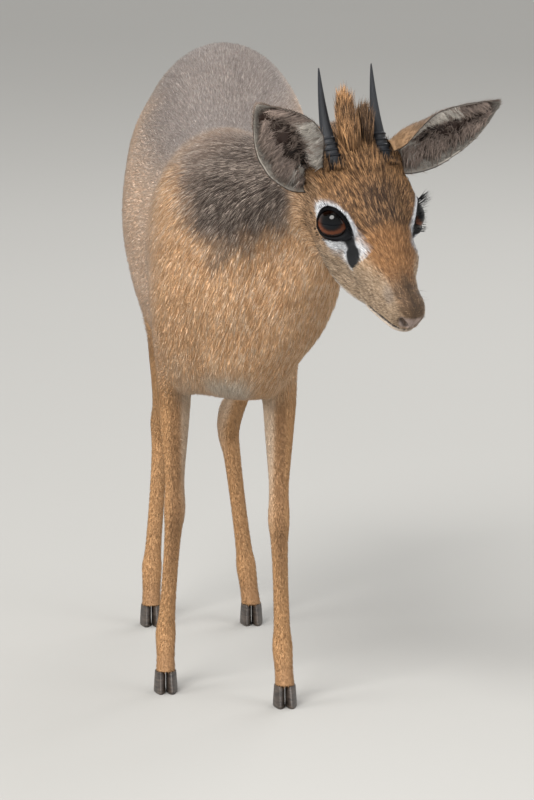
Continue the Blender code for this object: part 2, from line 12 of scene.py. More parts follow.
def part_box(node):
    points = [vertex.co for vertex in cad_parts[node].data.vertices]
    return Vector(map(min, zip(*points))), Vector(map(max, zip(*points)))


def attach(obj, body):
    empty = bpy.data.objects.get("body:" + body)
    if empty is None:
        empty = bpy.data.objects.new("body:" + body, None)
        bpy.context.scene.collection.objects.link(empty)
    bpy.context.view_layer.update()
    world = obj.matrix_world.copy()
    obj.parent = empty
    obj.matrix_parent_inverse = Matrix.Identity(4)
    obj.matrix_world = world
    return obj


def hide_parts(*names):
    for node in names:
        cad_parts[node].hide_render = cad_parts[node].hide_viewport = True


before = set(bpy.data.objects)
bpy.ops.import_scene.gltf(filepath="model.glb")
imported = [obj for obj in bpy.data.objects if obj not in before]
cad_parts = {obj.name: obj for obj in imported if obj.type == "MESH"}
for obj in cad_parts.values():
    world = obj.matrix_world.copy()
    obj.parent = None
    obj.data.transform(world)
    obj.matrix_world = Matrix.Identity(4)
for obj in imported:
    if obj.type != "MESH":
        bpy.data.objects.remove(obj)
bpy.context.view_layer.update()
rng = np.random.default_rng(11)

head = {"origin": (0.0615, -0.2293, 0.3674), "yaw": 27.0, "pitch": 43.3, "roll": 1.8}
# By angle around the lids' opening from its inner corner: polar degrees of its inner edge, of its
# outer edge and of the pale ring
eyes = {"place": (0.0513, 0.0235, 0.0037), "ball": (0.0509, 0.0250, 0.0025), "radius": 0.0122,
        "looks": (0.41, 0.81, 0.42), "gaze": (0.37, 0.68, 0.63), "corner": (0.90, -0.434, 0.033),
        "angle": (-180, -150, -120, -85, -45, -20, 0, 6, 22, 42, 62, 92, 124, 155, 180),
        "inner": (52, 44, 40, 38, 38, 45, 54, 57, 57, 52, 47, 44, 48, 52, 52),
        "outer": (62, 50, 47, 48, 49, 54, 65, 75, 65, 58, 54, 51, 54, 60, 62),
        "ring": (102, 112, 114, 106, 91, 81, 77, 78, 78, 69, 63, 60, 63, 76, 98)}


def unit(v):
    v = np.asarray(v, float)
    return v / np.maximum(np.linalg.norm(v, axis=-1, keepdims=True), 1e-12)


def headAxes():
    yaw, pitch, roll = (math.radians(head[k]) for k in ("yaw", "pitch", "roll"))
    forward = np.array([math.cos(pitch) * math.sin(yaw), -math.cos(pitch) * math.cos(yaw), -math.sin(pitch)])
    level = np.array([math.cos(yaw), math.sin(yaw), 0.0])
    upward = np.array([math.sin(pitch) * math.sin(yaw), -math.sin(pitch) * math.cos(yaw), math.cos(pitch)])
    left = level * math.cos(roll) + upward * math.sin(roll)
    up = upward * math.cos(roll) - level * math.sin(roll)
    return np.array([forward, left, up])


axes = headAxes()
headOrigin = np.array(head["origin"])


def onHead(*flu):
    return headOrigin + np.asarray(flu, float) @ axes


def headWay(*flu):
    return unit(np.asarray(flu, float) @ axes)


def toHead(points):
    return (points - headOrigin) @ axes.T


def folded(points):
    # Places on the head, forward, side and up, with its right side folded onto the left
    flu = toHead(points)
    return np.column_stack([flu[:, 0], np.abs(flu[:, 1]), flu[:, 2]])


def eyeCentre(side, place="ball"):
    f, l, u = eyes[place]
    return onHead(f, l * side, u)


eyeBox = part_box("eye_left")
shift = (np.array(eyeBox[0]) + np.array(eyeBox[1])) / 2 - eyeCentre(1, "place")


# Soft forms: the same tubes and balls as the solids, blended, so skin and solids agree
class SoftTube:
    def __init__(self, rows, blend, steps=4):
        keys = [list(c) + [w, h] + list(side) for c, w, h, side in rows]
        keys = np.array([keys[0]] + keys + [keys[-1]], float)
        smooth = []
        for i in range(1, len(keys) - 2):
            a, b, c, d = keys[i - 1:i + 3]
            for t in np.arange(steps) / steps:
                smooth.append(0.5 * (2 * b + (c - a) * t + (2 * a - 5 * b + 4 * c - d) * t ** 2
                                     + (3 * b - a - 3 * c + d) * t ** 3))
        smooth.append(keys[-2])
        self.rows = np.array(smooth)
        self.blend = blend
        reach = self.rows[:, 3:5].max() + 0.03
        self.low = self.rows[:, :3].min(0) - reach
        self.high = self.rows[:, :3].max(0) + reach

    def distance(self, points):
        best = np.full(len(points), 1.0)
        for a, b in zip(self.rows[:-1], self.rows[1:]):
            along = b[:3] - a[:3]
            share = np.clip((points - a[:3]) @ along / max(along @ along, 1e-12), 0, 1)
            row = a + share[:, None] * (b - a)
            offset = points - row[:, :3]
            side = row[:, 5:] / np.linalg.norm(row[:, 5:], axis=1)[:, None]
            across = (offset * side).sum(1)
            rest = np.maximum((offset ** 2).sum(1) - across ** 2, 0)
            near = np.sqrt(across ** 2 / row[:, 3] ** 2 + rest / row[:, 4] ** 2)
            slope = np.sqrt(across ** 2 / row[:, 3] ** 4 + rest / row[:, 4] ** 4)
            best = np.minimum(best, near * (near - 1) / np.maximum(slope, 1e-6))
        return best

    def beads(self):
        for row in self.rows:
            turn = Vector(row[5:]).normalized().to_track_quat("X", "Z").to_matrix()
            yield row[:3], (row[3], row[4], row[4]), turn


class SoftBall:
    def __init__(self, centre, radii, blend, turn=None):
        self.centre, self.radii, self.blend = np.array(centre), np.array(radii), blend
        self.turn = turn or Matrix.Identity(3)
        reach = max(radii) + 0.03
        self.low, self.high = self.centre - reach, self.centre + reach

    def distance(self, points):
        local = (points - self.centre) @ np.array(self.turn) / self.radii
        near = np.linalg.norm(local, axis=1)
        slope = np.linalg.norm(local / self.radii, axis=1)
        return near * (near - 1) / np.maximum(slope, 1e-6)

    def beads(self):
        yield self.centre, self.radii, self.turn


def blended(forms, points):
    total = np.full(len(points), 0.05)
    for form in forms:
        inside = ((points > form.low) & (points < form.high)).all(1)
        if not inside.any():
            continue
        a, b = total[inside], form.distance(points[inside])
        share = np.clip(0.5 + 0.5 * (a - b) / form.blend, 0, 1)
        total[inside] = a * (1 - share) + b * share - form.blend * share * (1 - share)
    return total


# Trunk rows: y, bend, z, half width, half height
trunk = {"rows": [
    (-0.150, -0.001, 0.270, 0.026, 0.034), (-0.132, -0.003, 0.276, 0.038, 0.056),
    (-0.098, -0.003, 0.284, 0.045, 0.078), (-0.045, -0.001, 0.289, 0.056, 0.083),
    (0.010, -0.001, 0.294, 0.0635, 0.084), (0.060, 0.002, 0.308, 0.0650, 0.081),
    (0.105, 0.007, 0.324, 0.0615, 0.077), (0.143, 0.010, 0.331, 0.0550, 0.072),
    (0.167, 0.011, 0.328, 0.0420, 0.056)]}
# Legs, from the body down: fore is shoulder, elbow, knee, fetlock, hoof; hind is hip, stifle, hock and so on
legs = {
    "fore_left": [(0.0275, -0.118, 0.262), (0.0320, -0.108, 0.205), (0.0305, -0.126, 0.121),
                  (0.0330, -0.124, 0.037), (0.0340, -0.134, 0.012)],
    "fore_right": [(-0.033, -0.105, 0.262), (-0.0350, -0.085, 0.205), (-0.0350, -0.084, 0.121),
                   (-0.0405, -0.072, 0.037), (-0.0410, -0.082, 0.012)],
    "hind_left": [(0.028, 0.130, 0.316), (0.0365, 0.100, 0.234), (0.0150, 0.180, 0.132),
                  (0.0260, 0.163, 0.038), (0.0290, 0.152, 0.012)],
    "hind_right": [(-0.024, 0.130, 0.316), (-0.0310, 0.100, 0.234), (-0.0310, 0.180, 0.132),
                   (-0.0390, 0.163, 0.038), (-0.0400, 0.152, 0.012)],
}
# Tubes of the neck and throat: middle, half width, half height, the way across
neckRows = [
    ((-0.002, -0.070, 0.312), 0.044, 0.050, (1, 0, 0)),
    ((0.000, -0.110, 0.319), 0.041, 0.053, (1, 0.05, 0)),
    ((0.008, -0.145, 0.327), 0.036, 0.047, (1, 0.15, 0)),
    ((0.024, -0.176, 0.337), 0.0310, 0.039, (1, 0.3, 0)),
    ((0.043, -0.204, 0.350), 0.0270, 0.032, (1, 0.45, 0)),
    ((0.060, -0.229, 0.360), 0.0250, 0.028, tuple(axes[1]))]
throatRows = [
    ((0.058, -0.213, 0.326), 0.018, 0.018, (1, 0.45, 0)),
    ((0.049, -0.200, 0.302), 0.020, 0.021, (1, 0.35, 0)),
    ((0.040, -0.183, 0.279), 0.026, 0.025, (1, 0.2, 0)),
    ((0.029, -0.166, 0.258), 0.028, 0.028, (1, 0.1, 0)),
    ((0.012, -0.150, 0.238), 0.026, 0.026, (1, 0.1, 0))]
# Tubes of the head and jaw: forward, up, half width, half height
headRows = [
    (0.000, -0.002, 0.0235, 0.0235), (0.018, -0.001, 0.0272, 0.0290), (0.038, -0.002, 0.0275, 0.0300),
    (0.057, -0.0045, 0.0250, 0.0280), (0.075, -0.0070, 0.0195, 0.0235), (0.092, -0.0080, 0.0158, 0.0185),
    (0.106, -0.0080, 0.0128, 0.0152), (0.115, -0.0070, 0.0108, 0.0126)]
jawRows = [
    (0.030, -0.025, 0.0210, 0.0185), (0.052, -0.030, 0.0205, 0.0175), (0.072, -0.0285, 0.0170, 0.0140),
    (0.092, -0.0220, 0.0122, 0.0085), (0.106, -0.0170, 0.0092, 0.0058), (0.116, -0.0135, 0.0062, 0.0042)]
# Paired balls of the head: forward, side, up, radii, blend
headBalls = [
    ((0.0513, 0.0235, 0.0037), (0.0165, 0.0140, 0.0155), 0.008),      # orbit
    ((0.034, 0.0205, 0.008), (0.0180, 0.0120, 0.0140), 0.010),        # brow
    ((0.040, 0.0165, -0.013), (0.0260, 0.0105, 0.0180), 0.010),       # cheek
    ((0.079, 0.0135, -0.003), (0.0120, 0.0080, 0.0095), 0.008),       # gland before the eye
    ((0.012, 0.0245, 0.009), (0.0135, 0.0110, 0.0130), 0.010),        # root of the ear
]
# Sections of each kind of leg: joint, share of the way to the next, half width, half depth
legRows = {
    "fore": [(0, 0, 0.0150, 0.0300), (0, 0.6, 0.0140, 0.0240), (1, 0, 0.0122, 0.0165),
             (1, 0.35, 0.0098, 0.0118), (1, 0.75, 0.0070, 0.0080), (2, 0, 0.0076, 0.0085),
             (2, 0.18, 0.0062, 0.0070), (2, 0.5, 0.0056, 0.0064), (2, 0.85, 0.0060, 0.0068),
             (3, 0, 0.0072, 0.0082), (3, 0.5, 0.0066, 0.0072), (4, 0, 0.0070, 0.0090)],
    "hind": [(0, 0, 0.0220, 0.0420), (0, 0.6, 0.0225, 0.0400), (1, 0, 0.0180, 0.0260),
             (1, 0.35, 0.0125, 0.0185), (1, 0.75, 0.0080, 0.0115), (2, 0, 0.0080, 0.0120),
             (2, 0.2, 0.0064, 0.0082), (2, 0.55, 0.0058, 0.0068), (2, 0.88, 0.0062, 0.0070),
             (3, 0, 0.0074, 0.0084), (3, 0.5, 0.0068, 0.0074), (4, 0, 0.0072, 0.0090)]}


def sideOf(name):
    return 1 if "left" in name else -1


def trunkForms():
    forms = [SoftTube([((bend, y, z), w, h, (1, 0, 0)) for y, bend, z, w, h in trunk["rows"]], 0.01),
             SoftBall((0, -0.128, 0.232), (0.026, 0.042, 0.030), 0.020),      # breast
             SoftBall((0, 0.00, 0.247), (0.040, 0.100, 0.038), 0.030)]        # belly
    thighTurn = Matrix.Rotation(math.radians(-22), 3, "X")
    for name in ("hind_left", "hind_right"):
        hip, stifle = legs[name][:2]
        thigh = (0.5 * (hip[0] + stifle[0]) + 0.006 * sideOf(name), 0.128, 0.287)
        forms.append(SoftBall(thigh, (0.0235, 0.046, 0.066), 0.022, thighTurn))
    for name in ("fore_left", "fore_right"):
        shoulder = (-0.003 + 0.0265 * sideOf(name), legs[name][0][1] - 0.012, 0.272)
        forms.append(SoftBall(shoulder, (0.0185, 0.036, 0.068), 0.022))
    return forms


def legForms(name):
    kind = name[:4]
    joints = [Vector(joint) for joint in legs[name]]
    rows = [(joints[i].lerp(joints[min(i + 1, 4)], share), w, h, (1, 0, 0))
            for i, share, w, h in legRows[kind]]
    if kind == "fore":
        return [SoftTube(rows, 0.012)]
    hockPoint = SoftBall(joints[2] + Vector((0, 0.0075, 0.010)), (0.0052, 0.0060, 0.0110), 0.010)
    return [SoftTube(rows, 0.014), hockPoint]


def headForms():
    side = tuple(axes[1])
    turn = Matrix(axes.tolist()).transposed()
    forms = [SoftTube([(onHead(f, 0, u), w, h, side) for f, u, w, h in headRows], 0.012)]
    forms.append(SoftBall(onHead(0.1165, 0, -0.0045), (0.0082, 0.0098, 0.0084), 0.008, turn))
    forms.append(SoftTube([(onHead(f, 0, u), w, h, side) for f, u, w, h in jawRows], 0.008))
    for s in (1, -1):
        for (f, l, u), radii, blend in headBalls:
            forms.append(SoftBall(onHead(f, s * l, u), radii, blend, turn))
    return forms


# The crest's core, thinner than its outline by the length that its hairs stand out. Rows: forward, side,
# up and the two halves. Tips: where the hairs of the two locks meet
crest = {"main": [(0.026, -0.002, 0.0155, 0.0068, 0.0055), (0.010, -0.0045, 0.0250, 0.0060, 0.0050),
                  (-0.006, -0.0065, 0.0335, 0.0034, 0.0030)],
         "second": [(0.014, 0.004, 0.0210, 0.0058, 0.0046), (0.000, 0.0045, 0.0290, 0.0034, 0.0028)],
         "hair": 0.0230, "width": 0.00055, "count": 3400,
         "tips": [(-0.0185, -0.0090, 0.0535), (-0.0090, 0.0060, 0.0455)]}
tail = {"rows": [
    ((0.011, 0.196, 0.358), 0.0060, 0.0060, (1, 0, 0)), ((0.011, 0.219, 0.350), 0.0055, 0.0050, (1, 0, 0)),
    ((0.011, 0.229, 0.334), 0.0045, 0.0040, (1, 0, 0)), ((0.011, 0.231, 0.319), 0.0030, 0.0026, (1, 0, 0))]}
tailLine = [row[0] for row in tail["rows"]]
neckLine = [row[0] for row in neckRows]
headOnly = headForms()
neckOnly = [SoftTube(neckRows, 0.022), SoftTube(throatRows, 0.020)]
tailOnly = [SoftTube(tail["rows"], 0.006)]
crestOnly = [SoftTube([(onHead(f, l, u), w, h, tuple(axes[1])) for f, l, u, w, h in crest[lock]], 0.005)
             for lock in ("main", "second")]
fleshForms = trunkForms() + neckOnly
for legName in legs:
    fleshForms += legForms(legName)
fleshForms += headOnly


def ease(value, low, high):
    # 0 at low, 1 at high and smooth between
    t = np.clip((value - low) / (high - low), 0, 1)
    return t * t * (3 - 2 * t)


def fade(value, low, high):
    return 1 - ease(value, low, high)


def regions(points):
    # How far each point belongs to the head, neck, legs and trunk, from 0 to 1
    headPart = fade(blended(headOnly, points), 0.0, 0.012)
    neckPart = fade(blended(neckOnly, points), 0.0, 0.020) * (1 - headPart)
    neckPart *= fade(points[:, 1], -0.125, -0.075)
    legPart = fade(points[:, 2], 0.185, 0.220)
    neckPart *= 1 - legPart
    return headPart, neckPart, legPart, np.clip(1 - headPart - neckPart - legPart, 0, 1)


# Remesh and blend sizes, where the legs end, and how deep the skin lies under the tips of the coat
skin = {"voxel": 0.0026, "blend": 0.004, "step": 0.8, "footCut": 0.0139, "trunk": 0.0022, "neck": 0.0022,
        "head": 0.0013, "muzzle": 0.0005, "leg": 0.0010, "lid": 0.0019}


def coatDepth(points):
    headPart, neckPart, legPart, trunkPart = regions(points)
    nose = ease(toHead(points)[:, 0], 0.045, 0.100)
    onFace = skin["head"] * (1 - nose) + skin["muzzle"] * nose
    for s in (1, -1):
        near = fade(np.linalg.norm(points - eyeCentre(s), axis=1), 0.015, 0.023)
        onFace = onFace * (1 - near) + skin["lid"] * near
    depth = headPart * onFace + neckPart * skin["neck"] + legPart * skin["leg"] + trunkPart * skin["trunk"]
    return depth / np.maximum(headPart + neckPart + legPart + trunkPart, 1e-6)


def skinDistance(points):
    # How far each point is outside the skin
    flesh = blended(fleshForms, points) + coatDepth(points)
    own = np.minimum(blended(crestOnly, points), blended(tailOnly, points))
    share = np.clip(0.5 + 0.5 * (flesh - own) / skin["blend"], 0, 1)
    return flesh * (1 - share) + own * share - skin["blend"] * share * (1 - share)


def newObject(name, mesh):
    made = bpy.data.objects.new(name, mesh)
    bpy.context.scene.collection.objects.link(made)
    return made


def pointsOf(mesh):
    co = np.empty(len(mesh.vertices) * 3)
    mesh.vertices.foreach_get("co", co)
    return co.reshape(-1, 3)


def normalsOf(mesh):
    co = np.empty(len(mesh.vertices) * 3)
    mesh.vertex_normals.foreach_get("vector", co)
    return co.reshape(-1, 3)


def setPoints(mesh, points):
    mesh.vertices.foreach_set("co", np.ascontiguousarray(points).ravel())
    mesh.update()


def fuse(made):
    remesh = made.modifiers.new("Fuse", "REMESH")
    remesh.mode = "VOXEL"
    remesh.voxel_size = skin["voxel"]
    graph = bpy.context.evaluated_depsgraph_get()
    mesh = bpy.data.meshes.new_from_object(made.evaluated_get(graph))
    made.modifiers.clear()
    made.data = mesh


def settle(made, passes):
    # Moves the points onto the skin along their normals
    mesh = made.data
    for i in range(passes):
        points = pointsOf(mesh)
        off = np.clip(skinDistance(points), -0.004, 0.004)
        setPoints(mesh, points - normalsOf(mesh) * off[:, None] * skin["step"])


def refine(made, wanted):
    # Cuts the faces that wanted(centres) picks in four
    bm = bmesh.new()
    bm.from_mesh(made.data)
    picked = wanted(np.array([face.calc_center_median() for face in bm.faces]))
    edges = {edge for face, pick in zip(bm.faces, picked) if pick for edge in face.edges}
    bmesh.ops.subdivide_edges(bm, edges=list(edges), cuts=1, use_grid_fill=True)
    bm.to_mesh(made.data)
    bm.free()


def eyeAxes(side):
    axis = headWay(eyes["looks"][0], eyes["looks"][1] * side, eyes["looks"][2])
    corner = headWay(eyes["corner"][0], eyes["corner"][1] * side, eyes["corner"][2])
    corner = unit(corner - axis * (corner @ axis))
    above = np.cross(axis, corner)
    return axis, corner, above if above @ axes[2] > 0 else -above


def lidAngles(theta, name="inner"):
    # Polar angle, in degrees, of the lids' inner or outer edge, or of the pale ring; 0 is the inner corner
    rounded = [np.interp((np.degrees(theta) + turn + 180) % 360 - 180, eyes["angle"], eyes[name])
               for turn in (-7, 0, 7)]
    return sum(rounded) / 3


def aroundEye(points, side):
    axis, corner, above = eyeAxes(side)
    offset = points - eyeCentre(side)
    reach = np.linalg.norm(offset, axis=1)
    along = offset @ axis
    polar = np.degrees(np.arccos(np.clip(along / np.maximum(reach, 1e-9), -1, 1)))
    theta = np.arctan2(offset @ above, offset @ corner)
    return offset, reach, polar, theta


def openLids(points):
    # Skin inside the lids' opening sinks behind the eyeball
    sunk = eyes["radius"] - 0.0022
    for s in (1, -1):
        offset, reach, polar, theta = aroundEye(points, s)
        limit = 0.35 * lidAngles(theta) + 0.65 * lidAngles(theta, "outer")
        sink = (polar < limit) & (reach < 0.024)
        points[sink] = eyeCentre(s) + offset[sink] / reach[sink, None] * sunk
    return points


def fromLine(points, line):
    # Distance from a line of points, and how far along it, from 0 to 1
    line = np.asarray(line, float)
    best = np.full(len(points), 1.0)
    where = np.zeros(len(points))
    for i, (a, b) in enumerate(zip(line[:-1], line[1:])):
        along = b - a
        share = np.clip((points - a) @ along / max(along @ along, 1e-12), 0, 1)
        gap = np.linalg.norm(points - a - share[:, None] * along, axis=1)
        closer = gap < best
        best[closer] = gap[closer]
        where[closer] = (i + share[closer]) / (len(line) - 1)
    return best, where


def gapTo(points, line):
    return fromLine(points, line)[0]


# Folds of the face, on the right side and mirrored: forward, side, up
face = {
    "mouth": [(0.0986, 0.0111, -0.0234), (0.1031, 0.0105, -0.0219), (0.1076, 0.0098, -0.0202),
              (0.1142, 0.0092, -0.0168), (0.1183, 0.0086, -0.0153), (0.1218, 0.0076, -0.0143),
              (0.1245, 0.0040, -0.0126), (0.1252, 0.0, -0.0122)],
    "nostril": [(0.1247, 0.0066, -0.0050), (0.1262, 0.0050, -0.0068), (0.1265, 0.0036, -0.0084)],
    "philtrum": [(0.1275, 0.0, -0.0030), (0.1268, 0.0, -0.0080), (0.1252, 0.0, -0.0122)],
    "gland": [(0.0755, 0.0212, -0.0010), (0.0764, 0.0209, -0.0018)],
    "streak": [(0.0662, 0.0240, 0.0066), (0.0686, 0.0222, 0.0038), (0.0713, 0.0218, 0.0025),
               (0.0732, 0.0212, 0.0009), (0.0760, 0.0210, -0.0015)],
}
# How deep each fold is pressed in, or raised beside its line: depth, distance from the line, half width
folds = {"mouth": [(0.0014, 0, 0.0008), (-0.0004, 0.0022, 0.0010)],
         "nostril": [(0.0028, 0, 0.0014), (-0.0006, 0.0030, 0.0012)],
         "philtrum": [(0.0006, 0, 0.0007)],
         "gland": [(0.0013, 0, 0.0034), (-0.0006, 0.0070, 0.0024)]}
lowerLip = {"proud": 0.0013, "edge": 0.0009, "from": 0.0040, "to": 0.0080}


def snapFace(mesh):
    # The folds' lines are laid on the skin itself, with points close together
    corners = [tuple(v.co) for v in mesh.vertices]
    tree = BVHTree.FromPolygons(corners, [tuple(f.vertices) for f in mesh.polygons])
    for name, line in face.items():
        line = np.array(line)
        share = np.linspace(0, len(line) - 1, 4 * len(line))
        fine = np.column_stack([np.interp(share, np.arange(len(line)), line[:, k]) for k in range(3)])
        onSkin = np.array([tree.find_nearest(tuple(onHead(f, -l, u)))[0] for f, l, u in fine])
        face[name] = toHead(onSkin) * (1, -1, 1)


def underMouth(sided):
    # 1 below the line of the lips
    line = np.array(face["mouth"])
    order = np.argsort(line[:, 0])
    return ease(np.interp(sided[:, 0], line[order, 0], line[order, 2]) - sided[:, 2], -0.0002, 0.0008)


def carveFace(points, normals):
    sided = folded(points)
    push = np.zeros(len(points))
    for name, rows in folds.items():
        gap = gapTo(sided, face[name])
        for depth, middle, width in rows:
            push += depth * np.exp(-((gap - middle) / width) ** 2)
        if name == "mouth":
            lower = underMouth(sided) * ease(sided[:, 0], 0.090, 0.100)
            edge = 1 - np.exp(-(gap / lowerLip["edge"]) ** 2)
            push -= lowerLip["proud"] * lower * edge * fade(gap, lowerLip["from"], lowerLip["to"])
    return points - normals * push[:, None]


def buildSkin():
    bm = bmesh.new()
    for form in fleshForms + crestOnly + tailOnly:
        for centre, radii, turn in form.beads():
            size = Matrix.Diagonal(Vector([max(r - 0.001, 0.002) for r in radii])).to_4x4()
            place = Matrix.Translation(Vector(centre)) @ turn.to_4x4() @ size
            bmesh.ops.create_icosphere(bm, subdivisions=2, radius=1.0, matrix=place)
    mesh = bpy.data.meshes.new("skin")
    bm.to_mesh(mesh)
    bm.free()
    made = newObject("skin", mesh)
    fuse(made)
    settle(made, 4)
    fuse(made)
    settle(made, 3)
    refine(made, lambda c: (blended(headOnly, c) < 0.006) & (toHead(c)[:, 0] > 0.004))
    refine(made, lambda c: (np.linalg.norm(c - eyeCentre(1), axis=1) < 0.022)
           | (np.linalg.norm(c - eyeCentre(-1), axis=1) < 0.022)
           | ((toHead(c)[:, 0] > 0.092) & (blended(headOnly, c) < 0.006)))
    settle(made, 2)
    mesh = made.data
    snapFace(mesh)
    setPoints(mesh, openLids(carveFace(pointsOf(mesh), normalsOf(mesh))))
    # The legs end level above the hooves
    bm = bmesh.new()
    bm.from_mesh(mesh)
    cut = bmesh.ops.bisect_plane(bm, geom=bm.verts[:] + bm.edges[:] + bm.faces[:], dist=0.000001,
                                 plane_co=(0, 0, skin["footCut"]), plane_no=(0, 0, 1), clear_inner=True)
    rims = [e for e in cut["geom_cut"] if isinstance(e, bmesh.types.BMEdge)]
    bmesh.ops.holes_fill(bm, edges=rims, sides=0)
    bmesh.ops.triangulate(bm, faces=[f for f in bm.faces if len(f.verts) > 4])
    bm.to_mesh(mesh)
    bm.free()
    return made


skinObject = buildSkin()
print("skin", len(skinObject.data.polygons), "faces")


# Colours: sRGB hex turned to linear by this one function
def linear(code):
    code = code.lstrip("#")
    srgb = np.array([int(code[i:i + 2], 16) for i in (0, 2, 4)]) / 255
    return np.where(srgb <= 0.04045, srgb / 12.92, ((srgb + 0.055) / 1.055) ** 2.4)


# Each fur's dark, middle and light hair
furs = {
    "back": ("#776b65", "#9a8d86", "#c6bab2"),
    "shoulder": ("#2d2420", "#564a43", "#b3a498"),
    "flank": ("#c4a58c", "#dfc0a5", "#efdccb"),
    "neck": ("#ac8059", "#dfb78e", "#efdac3"),
    "chest": ("#b98c63", "#e2b98f", "#f1dabf"),
    "cream": ("#c3b29d", "#dccfbe", "#f2ebe0"),
    "leg": ("#a0764f", "#c69a6d", "#e0bb90"),
    "shin": ("#6a4b36", "#94704f", "#b8936e"),
    "forehead": ("#1c120b", "#402d20", "#8c6d50"),
    "crown": ("#3b2513", "#82603f", "#c89a6b"),
    "bridge": ("#5c3d23", "#835d39", "#b0845a"),
    "snout": ("#2e2117", "#554231", "#826b53"),
    # The snout's stripe: painted shadow
    "shadowStripe": ("#281c13", "#403022", "#635039"),
    "smoke": ("#57504a", "#7b7067", "#978a7e"),
    "cheek": ("#54402e", "#a98a6b", "#cdb69c"),
    "muzzle": ("#5e4d3d", "#958069", "#bca78f"),
    "ring": ("#85878c", "#bfc1c5", "#f2f3f5"),
    "gland": ("#07080a", "#0e0f12", "#1c1f24"),
    "nose": ("#655650", "#938279", "#b0a095"),
    "chin": ("#a99c8f", "#c9bfb4", "#e6dfd7"),
}
furColours = {name: np.array([linear(code) for code in codes]) for name, codes in furs.items()}


def mottle(points, scale, seed=0.0):
    # Smooth, seeded variation from -1 to 1, with patches of the given size in metres
    p = points / scale + seed
    return (np.sin(p[:, 0] * 2.1 + 1.7 * np.sin(p[:, 1] * 1.3 + p[:, 2]))
            + np.sin(p[:, 1] * 2.3 + 1.9 * np.sin(p[:, 2] * 1.1 + seed + p[:, 0]))
            + np.sin(p[:, 2] * 1.9 + 1.5 * np.sin(p[:, 0] * 1.7 + p[:, 1]))) / 3


def trunkHeight(points):
    # Height on the trunk, from -1 at the belly to 1 at the back
    rows = np.array(trunk["rows"])
    z = np.interp(points[:, 1], rows[:, 0], rows[:, 2])
    h = np.interp(points[:, 1], rows[:, 0], rows[:, 4])
    return (points[:, 2] - z) / h


# Where the dark grizzled nape ends on the neck's side: y, and degrees above its middle line there
nape = {"y": (-0.24, -0.21, -0.19, -0.178, -0.166, -0.149, -0.136, -0.10, -0.06),
        "angle": (-38, -46, -44, -31, -14, 9, 28, 50, 62)}


def napePart(points):
    rows = np.array([row[0] for row in neckRows])[::-1]
    x, y, z = points.T
    offX = x - np.interp(y, rows[:, 1], rows[:, 0])
    offZ = z - np.interp(y, rows[:, 1], rows[:, 2])
    angle = np.degrees(np.arctan2(offZ, np.abs(offX)))
    limit = np.interp(y, nape["y"], nape["angle"]) + 7 * mottle(points, 0.008, 1.0)
    return ease(angle - limit, -18, 18)


# Whiskers stand on dark roots along the upper lip: forward, side, up
whiskers = {"roots": [(0.1045, 0.0125, -0.0060), (0.1075, 0.0120, -0.0100), (0.1110, 0.0112, -0.0060),
                      (0.1130, 0.0108, -0.0110), (0.1165, 0.0100, -0.0070), (0.1105, 0.0085, 0.0045),
                      (0.1150, 0.0070, 0.0040), (0.1000, 0.0138, -0.0100)],
            "length": (0.008, 0.014), "width": 0.00017, "colour": "#5a4a3e"}


def legMiddle(joints, z):
    # x and y of a leg's middle line at each height
    heights = [-joint[2] for joint in joints]
    return [np.interp(-z, heights, [joint[k] for joint in joints]) for k in (0, 1)]


